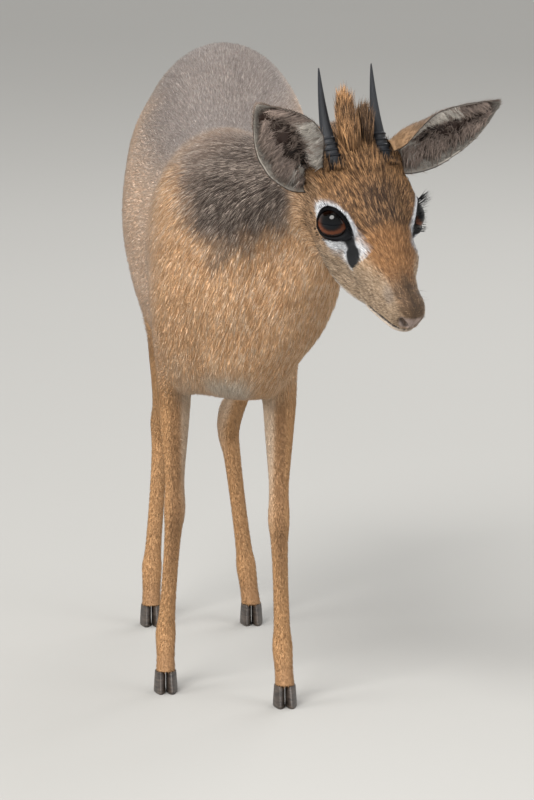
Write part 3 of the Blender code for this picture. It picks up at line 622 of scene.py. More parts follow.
def markings(points):
    # Dark, middle and light colour of the coat at each point: shape (points, 3, 3)
    headPart, neckPart, legPart = regions(points)[:3]
    x, y, z = points.T
    flu, sided = toHead(points), folded(points)
    f, l, u = sided.T
    colour = np.tile(furColours["flank"], (len(points), 1, 1))

    def lay(name, amount):
        nonlocal colour
        a = np.clip(amount, 0, 1)[:, None, None]
        colour = colour * (1 - a) + furColours[name] * a

    height = trunkHeight(points) + 0.06 * mottle(points, 0.03)
    lay("leg", fade(height, -0.95, -0.25))
    lay("chest", fade(y + 0.25 * (z - 0.28), -0.150, -0.095))
    lay("back", ease(height, 0.35, 0.85) * ease(y, -0.14, -0.06))
    outer = np.zeros(len(points))
    for name, joints in legs.items():
        outside = ease((x - legMiddle(joints, z)[0]) * sideOf(name), -0.006, 0.004)
        outer = np.maximum(outer, outside * fade(gapTo(points, joints[:3]), 0.035, 0.050))
    lay("cream", fade(height, -1.05, -0.80) * ease(y, -0.16, -0.10) * (1 - outer))
    # Neck: sandy sides and throat under a dark grizzled nape that runs into the withers
    lay("neck", neckPart * fade(-z, -0.275, -0.235))
    withers = np.maximum(neckPart, fade(y, -0.13, -0.05))
    dark = napePart(points) * withers * (1 - headPart)
    lay("back", dark * 0.8)
    lay("shoulder", dark * (0.15 + 0.85 * fade(y, -0.185, -0.105)))
    lay("cream", fade(np.hypot(x + 0.004, (y + 0.160) * 0.7), 0.010, 0.022) * fade(z, 0.212, 0.232))
    # Legs: rufous, paler inside, dark down the front
    lay("leg", legPart)
    for name, joints in legs.items():
        near = fade(gapTo(points, joints[1:]), 0.012, 0.020)
        middleX, middleY = legMiddle(joints, z)
        inner = ease(-(x - middleX) * sideOf(name), 0.001, 0.006)
        lay("cream", 0.6 * inner * near * legPart * ease(z, 0.09, 0.17))
        front = ease(-(y - middleY), 0.002, 0.006)
        lay("shin", 0.7 * front * near * legPart * fade(np.abs(x - middleX), 0.002, 0.005)
            * (ease(z, 0.055, 0.10) if name.startswith("fore") else 0.3))
        lay("shin", 0.6 * near * fade(z, 0.018, 0.036))
    # Head: grey-brown cheek, rufous crown, and a dark forehead in fine streaks
    lay("cheek", headPart)
    lay("crown", 0.55 * headPart * fade(f, 0.040, 0.062))
    top = ease(u - 0.35 * (l - 0.016) + 0.0015 * mottle(points, 0.006), 0.003, 0.012)
    lay("crown", headPart * top)
    between = ease(f, 0.030, 0.050) * fade(f - 0.25 * l, 0.064, 0.076)
    middle = 1 - 0.55 * ease(l, 0.006, 0.016)
    streaks = 0.5 + 0.5 * mottle(flu * (0.35, 1.6, 0.5), 0.0022, 5.0)
    lay("forehead", headPart * top * np.clip(0.16 + 0.84 * between * middle, 0, 1) * (0.66 + 0.34 * streaks))
    # Muzzle: brown bridge, pale sides, dark snout with a painted shadow stripe along its top, smoky patches,
    # pale chin
    lay("bridge", headPart * ease(u - 0.25 * l, -0.001, 0.005) * ease(f, 0.066, 0.076))
    lay("muzzle", headPart * ease(f + 1.2 * (l - u - 0.010), 0.086, 0.104)
        * ease(l - 0.3 * u, 0.0055, 0.0110))
    onSnout = (headPart * ease(f + 0.0012 * mottle(points, 0.003), 0.092, 0.112)
               * ease(u + 0.2 * (f - 0.11), -0.012, -0.003))
    lay("snout", 0.9 * onSnout * fade(l + 0.0012 * mottle(points, 0.0025, 4.0), 0.0060, 0.0120))
    # Painted shadow: a dark stripe along the top of the snout, where the nose's shaded side shows
    lay("shadowStripe", 0.80 * onSnout * ease(u, -0.003, 0.003)
        * fade(l + 0.0007 * mottle(points, 0.002), 0.0008, 0.0036))
    lay("smoke", 0.55 * headPart * ease(u, -0.006, -0.002)
        * fade(np.hypot((f - 0.1085) / 0.0070, (l - 0.0108) / 0.0026), 0.4, 1.2))
    lay("chin", headPart * ease(f, 0.02, 0.06) * ease(-u + 0.28 * (f - 0.098), 0.0250, 0.0310))
    lay("chin", 0.55 * headPart * ease(f, 0.088, 0.098) * underMouth(sided))
    # Eyes: a pale ring, and black skin under the lids
    for s in (1, -1):
        reach, polar, theta = aroundEye(points, s)[1:]
        own = (flu[:, 1] * s > 0.008) & (reach < 0.032)
        ring, lid = lidAngles(theta, "ring") + 2.5 * mottle(points, 0.003), lidAngles(theta, "outer")
        lay("ring", own * headPart * fade(polar, ring - 5, ring + 3))
        lay("gland", own * (reach < 0.022) * fade(polar, lid - 1, lid + 2))
    # Black gland and the streak to it, grey nose, black nostrils, lips and whiskers' roots
    lay("gland", fade(gapTo(sided, face["gland"]) + 0.0003 * mottle(points, 0.002), 0.0060, 0.0072))
    lay("gland", fade(gapTo(sided, face["streak"]), 0.0029, 0.0041))
    lay("nose", headPart * ease(f + 0.4 * u, 0.1205, 0.1225) * fade(u, -0.0035, -0.0010)
        * fade(-u, 0.0095, 0.0115) * fade(l, 0.0075, 0.0090))
    lay("gland", fade(gapTo(sided, face["nostril"]), 0.0013, 0.0022))
    lay("gland", 0.97 * fade(gapTo(sided, face["mouth"]), 0.0009, 0.0016))
    for root in whiskers["roots"]:
        lay("gland", 0.8 * fade(np.linalg.norm(sided - root, axis=1), 0.0003, 0.0008))
    lay("back", fade(gapTo(points, tailLine[1:]), 0.010, 0.014) * ease(y, 0.219, 0.226))
    return colour


# This one function adds a node with its settings and links
def addNode(tree, kind, settings=None, **links):
    node = tree.nodes.new(kind)
    for key, value in (settings or {}).items():
        if isinstance(key, str) and hasattr(node, key):
            setattr(node, key, value)
        else:
            node.inputs[key].default_value = value
    for key, source in links.items():
        name = key.replace("_", " ")
        target = node.inputs[int(name[1:])] if name[0] == "i" and name[1:].isdigit() else node.inputs[name]
        tree.links.new(source, target)
    return node


def newMaterial(name, **finish):
    made = bpy.data.materials.new(name)
    made.use_nodes = True
    tree = made.node_tree
    tree.nodes.clear()
    output = tree.nodes.new("ShaderNodeOutputMaterial")
    shader = tree.nodes.new("ShaderNodeBsdfPrincipled")
    tree.links.new(shader.outputs[0], output.inputs[0])
    for key, value in finish.items():
        shader.inputs[key.replace("_", " ")].default_value = value
    return made, tree, shader


def grainMaterial(name, noise, shades=None, stops=None, along=None, stretch=None, bump=None, rough=None,
                  **finish):
    # A finish that follows one noise. Its colour is the mesh's own tint, darker and lighter by the two
    # shades, or runs between colour stops; bump and roughness follow the same noise
    made, tree, shader = newMaterial(name, **finish)
    if along:
        place = addNode(tree, "ShaderNodeAttribute", {"attribute_name": along}).outputs["Vector"]
    else:
        place = addNode(tree, "ShaderNodeTexCoord").outputs["Object"]
    if stretch:
        longer = addNode(tree, "ShaderNodeVectorMath", {"operation": "MULTIPLY", 1: stretch}, i0=place)
        place = longer.outputs[0]
    grain = addNode(tree, "ShaderNodeTexNoise", noise, Vector=place).outputs["Fac"]
    if shades:
        tint = addNode(tree, "ShaderNodeAttribute", {"attribute_name": "tint"})
        spread = addNode(tree, "ShaderNodeMapRange", {"To Min": shades[0], "To Max": shades[1]}, Value=grain)
        colour = addNode(tree, "ShaderNodeVectorMath", {"operation": "SCALE"}, i0=tint.outputs["Color"],
                         Scale=spread.outputs[0])
    else:
        colour = addNode(tree, "ShaderNodeValToRGB", Fac=grain)
        for element, (at, code) in zip(colour.color_ramp.elements, stops):
            element.position = at
            element.color = (*linear(code), 1)
    tree.links.new(colour.outputs[0], shader.inputs["Base Color"])
    if bump:
        relief = addNode(tree, "ShaderNodeBump", {"Strength": bump[0], "Distance": bump[1]}, Height=grain)
        tree.links.new(relief.outputs[0], shader.inputs["Normal"])
    if rough:
        shine = addNode(tree, "ShaderNodeMapRange", {"To Min": rough[0], "To Max": rough[1]}, Value=grain)
        tree.links.new(shine.outputs[0], shader.inputs["Roughness"])
    return made


# Hair keratin, laid flat: satin, with the fine light and dark of single hairs. IOR of keratin 1.55
coatHair = grainMaterial("coat hair", {"Scale": 1 / 0.0012, "Detail": 3.0, "Roughness": 0.65}, (0.88, 1.12),
                         Roughness=0.62, IOR=1.55, Specular_IOR_Level=0.30)
faceHair = grainMaterial("face hair", {"Scale": 1 / 0.0008, "Detail": 3.0, "Roughness": 0.65}, (0.90, 1.10),
                         Roughness=0.62, IOR=1.55, Specular_IOR_Level=0.30)
# Hide under the coat, seen only between hairs and on nose and lips: fine grain of pores and short down
hide = grainMaterial("furred hide", {"Scale": 1 / 0.0011, "Detail": 4.0, "Roughness": 0.7}, (0.72, 1.22),
                     bump=(0.5, 0.0004), Roughness=0.62, IOR=1.45, Specular_IOR_Level=0.35)


def setTint(mesh, colours):
    layer = mesh.color_attributes.new("tint", "FLOAT_COLOR", "POINT")
    rgba = np.ones((len(mesh.vertices), 4), np.float32)
    rgba[:, :3] = colours
    layer.data.foreach_set("color", rgba.ravel())


def finishPiece(made, material, slotName, *nodes):
    made.data.materials.clear()
    made.data.materials.append(material)
    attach(made, "root")
    if nodes:
        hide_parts(*nodes)
    return made


# Tufts: closed three-sided spikes. Long ones have a bend half way
tuft = {"sway": 0.09, "sunk": 0.0004, "patch": 0.003}


def tuftPiece(name, t, material, slotName, line, *nodes):
    root, normal, lie = t["root"], t["normal"], unit(t["lie"])
    count = len(root)
    length, width, lift = (np.broadcast_to(t[k], count)[:, None] for k in ("length", "width", "lift"))
    side = unit(np.cross(lie, normal))
    bend = t.get("bend", True)
    sway = side * length * rng.normal(0, tuft["sway"], (count, 1))

    def ring(centre, scale):
        half, thick = width * 0.5 * scale, width * 0.42 * scale
        return [centre + normal * thick, centre + side * half, centre - side * half]

    corners = ring(root - normal * tuft["sunk"], 0.8)
    if bend:
        corners += ring(root + lie * length * 0.5 + normal * length * lift * 0.40 + sway * 0.3, 1.0)
    rise = normal * length * lift * t.get("rise", 0.50)
    corners.append(root + lie * length * (1 - 0.1 * lift) + rise + sway)
    each = len(corners)
    points = np.stack(corners, 1).reshape(-1, 3)
    # Faces of one tuft, and each face's corners on its patch of the map
    faces, maps = [(0, 2, 1)], [((0, 0), (0.5, 0.08), (1, 0))]
    for i in range(3):
        j, a, b = (i + 1) % 3, i / 3, (i + 1) / 3
        if bend:
            faces += [(i, j, 3 + j), (i, 3 + j, 3 + i)]
            maps += [((a, 0.1), (b, 0.1), (b, 0.55)), ((a, 0.1), (b, 0.55), (a, 0.55))]
    first, low = (3, 0.55) if bend else (0, 0.1)
    for i in range(3):
        faces.append((first + i, first + (i + 1) % 3, each - 1))
        maps.append(((i / 3, low), ((i + 1) / 3, low), ((i + 0.5) / 3, 1.0)))
    faces, maps = np.array(faces), np.array(maps, np.float32)
    allFaces = (faces[None] + np.arange(count)[:, None, None] * each).reshape(-1, 3)
    mesh = bpy.data.meshes.new(name)
    mesh.vertices.add(len(points))
    mesh.vertices.foreach_set("co", (points + shift).astype(np.float32).ravel())
    mesh.loops.add(allFaces.size)
    mesh.loops.foreach_set("vertex_index", allFaces.astype(np.int32).ravel())
    mesh.polygons.add(len(allFaces))
    mesh.polygons.foreach_set("loop_start", np.arange(0, allFaces.size, 3, dtype=np.int32))
    mesh.polygons.foreach_set("use_smooth", np.ones(len(allFaces), bool))
    mesh.update()
    colour = t["colour"]
    rootColour = colour * t.get("rootShade", 0.7)
    middleColour = 0.35 * rootColour + 0.65 * colour
    shades = [rootColour] * 3 + ([middleColour] * 3 if bend else []) + [t.get("tip", colour)]
    setTint(mesh, np.stack(shades, 1).reshape(-1, 3))
    places = unwrap(root, line)
    uv = (places[:, None, None, :] + (maps[None] - 0.5) * tuft["patch"]).astype(np.float32)
    layer = mesh.uv_layers.new(name="OFBake")
    layer.data.foreach_set("uv", np.clip(uv, 0, 1).ravel())
    finishPiece(newObject(name, mesh), material, slotName, *nodes)
    print(name, count, "tufts", len(allFaces), "triangles")


def spanOf(points, line):
    # How far from a line each point is, which of its spans is nearest, and the share along that span
    gap, where = fromLine(points, line)
    index = np.minimum((where * (len(line) - 1)).astype(int), len(line) - 2)
    return gap, index, where * (len(line) - 1) - index


def unwrap(points, line):
    # A cylinder's unwrap around a bent middle line: along it, and the angle around it
    line = np.asarray(line, float)
    index, share = spanOf(points, line)[1:]
    along = unit(line[index + 1] - line[index])
    offset = points - line[index] - (line[index + 1] - line[index]) * share[:, None]
    across = unit(np.cross(along, np.where(np.abs(along[:, 2:3]) > 0.8, [[0, 1, 0]], [[0, 0, 1]])))
    other = np.cross(across, along)
    angle = np.arctan2((offset * across).sum(1), (offset * other).sum(1)) / (2 * math.pi) + 0.5
    length = np.linalg.norm(np.diff(line, axis=0), axis=1)
    start = np.concatenate([[0], np.cumsum(length)])
    far = start[index] + share * length[index] + (offset * along).sum(1)
    low, high = far.min(), far.max()
    return np.column_stack([0.003 + 0.994 * angle, 0.003 + 0.994 * (far - low) / max(high - low, 1e-6)])


def surfaceOf(mesh):
    # Points, normals, triangles and the triangles' areas
    mesh.calc_loop_triangles()
    tris = np.empty(len(mesh.loop_triangles) * 3, np.int32)
    mesh.loop_triangles.foreach_get("vertices", tris)
    points, tris = pointsOf(mesh), tris.reshape(-1, 3)
    a, b, c = (points[tris[:, k]] for k in range(3))
    return points, normalsOf(mesh), tris, np.linalg.norm(np.cross(b - a, c - a), axis=1) / 2


def scatter(surface, density):
    # Even, seeded places on the triangles; density is in tufts for each square metre of each triangle
    points, normals, tris, area = surface
    total = np.concatenate([[0], np.cumsum(area * density)])
    count = int(total[-1])
    at = (np.arange(count) + rng.random(count)) * total[-1] / count
    which = np.clip(np.searchsorted(total, at, side="right") - 1, 0, len(tris) - 1)
    r1, r2 = np.sqrt(rng.random(count)), rng.random(count)
    w = np.column_stack([1 - r1, r1 * (1 - r2), r1 * r2])[:, :, None]
    picked = tris[which]
    return (points[picked] * w).sum(1), unit((normals[picked] * w).sum(1))


def lieOf(points, normals):
    # Which way the hair lies: back along the trunk, down neck and legs, from nose to poll on the head
    headPart, neckPart, legPart, trunkPart = (part[:, None] for part in regions(points))
    y, z = points[:, 1], points[:, 2]
    f, l, u = toHead(points).T
    ones = np.ones(len(points))
    flank = np.clip(1 - np.abs(trunkHeight(points)), 0, 1)
    rump = ease(y, 0.15, 0.20)
    trunkWay = np.column_stack([0 * ones, 1 - 0.5 * rump, -0.42 * flank - 1.2 * rump])
    chest = fade(y, -0.15, -0.09)[:, None]
    trunkWay = trunkWay * (1 - chest) + np.array([-0.15, 0.35, -1.0]) * chest
    low = fade(z, 0.30, 0.36)[:, None]
    neckWay = np.array([-0.30, 0.75, -0.45]) * (1 - low) + np.array([-0.25, 0.30, -1.0]) * low
    legWay = np.tile((0, 0.15, -1.0), (len(points), 1))
    for joints in legs.values():
        gap, index = spanOf(points, joints)[:2]
        line = np.asarray(joints, float)
        near = fade(gap, 0.016, 0.045)[:, None]
        legWay = unit(line[index + 1] - line[index]) * near + legWay * (1 - near)
    legWay[:, 2] -= 0.4
    cheek = ease(-u, -0.004, 0.012)
    aside = np.sign(l) * (0.30 * ease(np.abs(l), 0.004, 0.016) * (1 - cheek))
    pollWay = np.column_stack([-ones, aside, -0.45 * cheek + 0.15 * ease(f, 0.05, 0.0)]) @ axes
    muzzleWay = np.column_stack([-ones, 1.2 * np.sign(l) * ease(np.abs(l), 0, 0.01), -0.6 * ones]) @ axes
    muzzle = ease(f, 0.104, 0.116)[:, None]
    pollWay = pollWay * (1 - muzzle) + muzzleWay * muzzle
    way = trunkWay * trunkPart + neckWay * neckPart + legWay * legPart + pollWay * headPart
    onTail = (gapTo(points, tailLine[1:]) < 0.008)[:, None]
    way = np.where(onTail, np.array([0, 0.25, -1.0]), way)
    swirl = 0.16 * mottle(points, 0.012, 3.0)
    way = unit(way - normals * (way * normals).sum(1)[:, None])
    return unit(way + np.cross(normals, way) * swirl[:, None])


# Coat sizes in metres; density in tufts for each square millimetre
coat = {
    "trunk": {"length": 0.0090, "width": 0.00092, "lift": 0.26, "density": 0.80},
    "neck": {"length": 0.0080, "width": 0.00072, "lift": 0.25, "density": 1.15},
    "head": {"length": 0.0050, "width": 0.00056, "lift": 0.28, "density": 1.60},
    "muzzle": {"length": 0.0024, "width": 0.00040, "lift": 0.20, "density": 2.40},
    "leg": {"length": 0.0038, "width": 0.00046, "lift": 0.24, "density": 1.90},
    "lid": {"length": 0.0023, "width": 0.00038, "lift": 0.16, "density": 2.60},
}

def coatSizes(points):
    headPart, neckPart, legPart, trunkPart = regions(points)
    sided = folded(points)
    nose = ease(sided[:, 0], 0.060, 0.112) * headPart
    lid = fade(np.linalg.norm(sided - np.array(eyes["ball"]), axis=1), 0.0152, 0.0190)
    lid = np.maximum(lid, fade(gapTo(sided, face["streak"]), 0.006, 0.010)) * headPart
    parts = {"trunk": trunkPart, "neck": neckPart, "head": (headPart - nose) * (1 - lid),
             "muzzle": nose * (1 - lid), "leg": legPart, "lid": lid}
    total = np.maximum(sum(parts.values()), 1e-6)
    return {key: sum(share * coat[name][key] for name, share in parts.items()) / total
            for key in coat["trunk"]}


def bare(points):
    # Where no hair grows: nose, lips, nostrils, gland, streak, lids and the legs' level ends
    sided = folded(points)
    f, l, u = sided.T
    out = (f + 0.4 * u > 0.1215) & (u < -0.0022) & (-u < 0.0105) & (l < 0.0080)
    for name, width in (("mouth", 0.0019), ("nostril", 0.0020), ("gland", 0.0052), ("streak", 0.0024)):
        out |= gapTo(sided, face[name]) < width
    for s in (1, -1):
        reach, polar, theta = aroundEye(points, s)[1:]
        out |= (polar < lidAngles(theta, "outer") + 1) & (reach < 0.022)
    return out | (points[:, 2] < skin["footCut"] + 0.0004)


def agouti(colours, contrast, streak=0.5):
    # Picks dark, middle or light hair for each tuft, as banded hairs show; streak gathers like hairs
    count = len(colours)
    pick = 0.60 * rng.random(count) + 0.40 * streak
    shade = np.where(pick < 0.36, 0, np.where(pick < 0.64, 1, 2))
    mean = colours[:, 1]
    own = mean + (colours[np.arange(count), shade] - mean) * contrast
    return own * (1 + 0.09 * rng.normal(0, 1, (count, 1)))


def growCoat():
    surface = surfaceOf(skinObject.data)
    middles = surface[0][surface[2]].mean(1)
    density = coatSizes(middles)["density"] * 1e6 * ~bare(middles)
    density[(blended(crestOnly, middles) < 0.0006) & (blended(headOnly, middles) > 0.001)] = 0
    root, normal = scatter(surface, density)
    count = len(root)
    headPart, neckPart, legPart, trunkPart = regions(root)
    flu, sided = toHead(root), folded(root)
    sizes, lie, marks = coatSizes(root), lieOf(root, normal), markings(root)
    dusk = fade(marks[:, 1].mean(1), 0.05, 0.20)
    contrast = 0.55 * trunkPart + 0.68 * neckPart + 1.10 * headPart + 0.22 * legPart
    contrast = contrast + 0.35 * dusk * (1 - headPart)
    # Hairs gather in fine streaks along the lie: down the neck, from brow to poll on the head
    onFace = mottle(flu * (0.30, 1.2, 1.2), 0.0011, 2.0)
    onNeck = mottle(root * (1, 1, 0.28), 0.0020, 7.0)
    streak = np.clip(0.5 + 0.62 * (onFace * headPart + onNeck * (neckPart + 0.5 * trunkPart)), 0, 1)
    colours = agouti(marks, contrast[:, None], streak)
    grizzled = ((rng.random(count) < 0.30) & (dusk * (1 - headPart) > 0.3))[:, None]
    tip = np.where(grizzled, marks[:, 2] * 0.85, colours * rng.uniform(0.90, 1.20, (count, 1)))
    colours = np.where(grizzled, marks[:, 0] * 1.1, colours)
    # Just above the hooves the hair hangs; on the brow it is long and stands up; under the mouth it is short
    low = root[:, 2] < 0.026
    normal = unit(np.column_stack([normal[:, :2], np.clip(normal[:, 2], -0.4, np.where(low, 0.6, 1.0))]))
    down = np.array([0, -0.25, -1.0])
    lie = np.where(low[:, None], unit(down - normal * (normal @ down)[:, None]), lie)
    brow = (ease(flu[:, 2], 0.016, 0.022) * fade(sided[:, 1], 0.010, 0.016) * fade(flu[:, 0], 0.028, 0.044)
            * headPart)
    lip = underMouth(sided) * headPart * ease(flu[:, 0], 0.090, 0.100)
    length = sizes["length"] * (1 + 0.8 * brow) * np.where(low, 0.70, 1.0) * (1 - 0.5 * lip)
    lift = sizes["lift"] * (1 + 1.2 * brow) * (1 - 0.6 * lip)
    length, lift = length * rng.uniform(0.75, 1.2, count), lift * rng.uniform(0.6, 1.4, count)
    # Where the skin turns up ahead of a tuft, its tip is raised so that it stays on the outside
    ahead = root + lie * length[:, None] + normal * (length * lift * 0.5)[:, None]
    lift = lift + np.clip(0.0007 - skinDistance(ahead), 0, 0.0035) / (0.5 * length)
    tufts = {"root": root, "normal": normal, "lie": lie, "length": length, "lift": np.minimum(lift, 1.3),
             "width": sizes["width"] * rng.uniform(0.8, 1.2, count), "colour": colours, "tip": tip}
    partCoat(tufts, headPart > 0.5, neckPart > 0.5, legPart > 0.5)


def partCoat(tufts, isHead, isNeck, isLeg):
    # The coat in pieces, by region and side
    root = tufts["root"]
    y = root[:, 1]
    onTail = (gapTo(root, tailLine[1:]) < 0.0085) & (y > 0.219)
    isNeck = isNeck & ~isHead & ~isLeg
    isTrunk = ~isHead & ~isLeg & ~isNeck & ~onTail
    trunkLine = [(row[1], row[0], row[2]) for row in trunk["rows"]]
    headLine = [onHead(row[0], 0, row[1] - 0.006) for row in headRows]
    trunkLeft = root[:, 0] > np.interp(y, [row[1] for row in trunkLine], [row[0] for row in trunkLine])
    neckLeft = root @ np.array([1, 0.4, 0]) > -0.03
    headLeft = toHead(root)[:, 1] > 0
    groups = []
    for isLeft, word in ((True, "left"), (False, "right")):
        for part, low, high in (("shoulder", -1, -0.03), ("flank", -0.03, 0.065), ("rump", 0.065, 1)):
            inPart = isTrunk & (trunkLeft == isLeft) & (y >= low) & (y < high)
            groups.append((f"coat_{part}_{word}", inPart, coatHair, "back_coat", trunkLine))
        groups.append((f"coat_neck_{word}", isNeck & (neckLeft == isLeft), coatHair, "body_coat", neckLine))
        groups.append((f"coat_head_{word}", isHead & (headLeft == isLeft), faceHair, "face_coat", headLine))
    nearest = np.argmin([gapTo(root, joints) for joints in legs.values()], axis=0)
    for index, (name, joints) in enumerate(legs.items()):
        groups.append((f"coat_{name}", isLeg & (nearest == index), coatHair, "body_coat", joints))
    groups.append(("coat_tail", onTail & ~isLeg, coatHair, "back_coat", tailLine))
    for name, chosen, material, slotName, line in groups:
        own = {key: value[chosen] for key, value in tufts.items()}
        tuftPiece(name, {**own, "rootShade": 0.85, "bend": name == "coat_tail"}, material, slotName, line)


def tintSkin():
    mesh = skinObject.data
    points = pointsOf(mesh)
    colours = markings(points)
    # Where hair grows the hide is tinted darker than the coat's middle colour: painted shade deep between the
    # tufts
    setTint(mesh, np.where(bare(points)[:, None], colours[:, 1], colours[:, 1] * 0.70 + colours[:, 0] * 0.20))
    setPoints(mesh, points + shift)
    mesh.polygons.foreach_set("use_smooth", np.ones(len(mesh.polygons), bool))


growCoat()


def growWhiskers():
    # A few stiff whiskers on each side of the muzzle
    roots = np.array([(f, l * s, u) for f, l, u in whiskers["roots"] for s in (1, -1)])
    count = len(roots)
    out = np.column_stack([np.full(count, -0.25), np.sign(roots[:, 1]), np.full(count, -0.25)]) @ axes
    tufts = {"root": headOrigin + roots @ axes - unit(out) * 0.001,
             "normal": np.tile(unit(axes[2]), (count, 1)),
             "lie": unit(out + rng.normal(0, 0.18, (count, 3))),
             "length": rng.uniform(*whiskers["length"], count), "width": whiskers["width"],
             "lift": -0.20, "rise": 0.8, "rootShade": 1.0,
             "colour": np.tile(linear(whiskers["colour"]), (count, 1))}
    tuftPiece("whiskers", tufts, faceHair, "face_coat", [onHead(0.09, 0, -0.005), onHead(0.13, 0, -0.008)])


growWhiskers()


def growCrest():
    # The crest: stiff hairs that stand along the two locks
    surface = surfaceOf(skinObject.data)
    middles = surface[0][surface[2]].mean(1)
    onLocks = np.minimum(*[form.distance(middles) for form in crestOnly]) < 0.0012
    on = onLocks & (blended(headOnly, middles) > -0.0030) & (toHead(middles)[:, 2] > 0.016)
    density = np.where(on, crest["count"] / max(surface[3][on].sum(), 1e-9), 0)
    root, normal = scatter(surface, density)
    count = len(root)
    second = crestOnly[1].distance(root) < crestOnly[0].distance(root)
    goal = np.where(second[:, None], onHead(*crest["tips"][1]), onHead(*crest["tips"][0]))
    towards = goal + rng.normal(0, 0.0017, (count, 3)) - root
    far = np.linalg.norm(towards, axis=1)
    lie = unit(towards + rng.normal(0, 0.05, (count, 3)) * far[:, None])
    length = np.minimum(far * rng.uniform(0.60, 1.05, count), crest["hair"] * rng.uniform(0.6, 1.1, count))
    # The lock behind is painted dark as painted shade, lying behind the front lock, and a dark band crosses
    # the one in front
    band = 0.7 * np.exp(-((toHead(root)[:, 2] - 0.0305) / 0.0025) ** 2)
    dark = np.maximum(0.85 * second, band)[:, None, None]
    own = agouti(furColours["crown"] * 1.05 * (1 - dark) + furColours["forehead"] * 0.7 * dark, 0.9)
    tufts = {"root": root, "normal": normal, "lie": lie, "lift": 0.16, "width": crest["width"],
             "length": length, "colour": own, "rootShade": 0.55, "tip": own * 1.25}
    tuftPiece("crest_hair", tufts, faceHair, "crest_hair",
              [onHead(0.02, 0, 0.018), onHead(-0.012, -0.002, 0.036)], "crest")


growCrest()
tintSkin()
finishPiece(skinObject, hide, "body_coat", "trunk", "neck", "head", "tail", "fore_leg_left", "fore_leg_right",
            "hind_leg_left", "hind_leg_right")


def shiftedMesh(name, points, faces):
    mesh = bpy.data.meshes.new(name)
    mesh.from_pydata((points + shift).tolist(), [], faces)
    mesh.update()
    return mesh


def sweptMesh(name, rings, closed=False):
    # A skin over rings of points, of shape (rings, points, 3); closed joins the last ring to the first
    n, m = rings.shape[:2]
    faces = []
    for i in range(n if closed else n - 1):
        for j in range(m):
            a, b, ahead = i * m + j, i * m + (j + 1) % m, (i + 1) % n * m
            faces.append((a, b, ahead + (j + 1) % m, ahead + j))
    return shiftedMesh(name, rings.reshape(-1, 3), faces)


def mend(mesh):
    # Joins points at one place, turns the faces outward and shades them smooth
    bm = bmesh.new()
    bm.from_mesh(mesh)
    bmesh.ops.remove_doubles(bm, verts=bm.verts, dist=0.000001)
    bmesh.ops.recalc_face_normals(bm, faces=bm.faces)
    bm.to_mesh(mesh)
    bm.free()
    mesh.polygons.foreach_set("use_smooth", np.ones(len(mesh.polygons), bool))


# Ears: cupped leaves, dark and bare inside between tufts of long grey hairs, grizzled outside.
# Rows: along, shift towards the brow, radius across, degrees to the inner and to the outer edge
ears = {
    "thick": 0.0012, "steps": (56, 72), "hairWidth": 0.00050,
    "left": {"root": (0.0075, 0.0275, 0.0160), "axis": (0.035, 0.870, 0.430),
             "facing": (0.978, -0.08, 0.19), "length": 0.0770, "rows": [
                 (0.00, 0.0020, 0.0110, 112, 105), (0.08, 0.0042, 0.0142, 112, 98),
                 (0.16, 0.0052, 0.0170, 100, 88), (0.26, 0.0046, 0.0202, 80, 74),
                 (0.36, 0.0034, 0.0248, 62, 58), (0.46, 0.0020, 0.0305, 45, 44),
                 (0.60, 0.0008, 0.0310, 38, 38), (0.72, 0.0000, 0.0275, 34, 35),
                 (0.82, 0.0000, 0.0210, 33, 33), (0.90, 0.0000, 0.0135, 33, 32),
                 (0.96, 0.0000, 0.0066, 33, 32), (1.00, 0.0000, 0.0011, 33, 32)]},
    "right": {"root": (0.0125, -0.0270, 0.0060), "axis": (-0.11, -0.690, 0.715),
              "facing": (0.985, -0.08, 0.15), "length": 0.0765, "rows": [
                  (0.00, -0.0010, 0.0080, 92, 105), (0.08, -0.0020, 0.0105, 82, 99),
                  (0.16, -0.0022, 0.0132, 74, 90), (0.26, -0.0012, 0.0172, 65, 75),
                  (0.36, 0.0000, 0.0228, 56, 60), (0.46, 0.0008, 0.0300, 46, 45),
                  (0.60, 0.0014, 0.0320, 42, 41), (0.72, 0.0014, 0.0290, 40, 38),
                  (0.82, 0.0008, 0.0230, 38, 34), (0.90, 0.0002, 0.0155, 35, 33),
                  (0.96, 0.0000, 0.0084, 33, 33), (1.00, 0.0000, 0.0016, 33, 33)]},
    # Hair laid along the ear: count, from and to across and along, on the inside, length, and the least
    # distance from the middle that its colour is read at
    "short": [(9000, (-0.99, 0.99), (0.0, 0.96), False, 0.0050, -1),
              (4200, (0.52, 0.95), (0.05, 0.97), True, 0.0030, 0.8),
              (900, (-0.90, 0.90), (0.86, 0.97), True, 0.0030, -1)],
    # Clumps over the hollow: count, hairs in each, from and to across and along, how far the tips draw
    # inward, longest hair, colour and its shade, spread
    "clumps": [(60, 24, (-0.97, -0.80), (0.06, 0.62), 0.34, 0.0105, "pale", None, 0.06),
               (52, 20, (-0.90, -0.55), (0.20, 0.86), 0.36, 0.0085, "grey", 1.0, 0.14),
               (60, 22, (0.45, 0.72), (0.06, 0.84), -0.40, 0.0090, "grey", 1.0, 0.14),
               (22, 16, (-0.30, 0.40), (0.16, 0.80), -0.18, 0.0075, "grey", 0.8, 0.14),
               (12, 26, (0.10, 0.80), (0.02, 0.16), -0.30, 0.0095, "pale", 0.8, 0.10)],
    # The right ear's pale hair is painted darker than the left's: painted shade
    "palePaintedShade": {"left": 1.0, "right": 0.85}}
# deep: the painted shade in the middle of the ear's hollow
earCodes = {"inside": "#392923", "deep": "#120c0a", "edge": "#8a847c", "back": "#74655a", "rim": "#2a211d",
            "line": "#cfc6ba", "pale": "#c9c2b9", "grey": "#97877d", "root": "#8d7053"}
earFurs = {name: linear(code) for name, code in earCodes.items()}


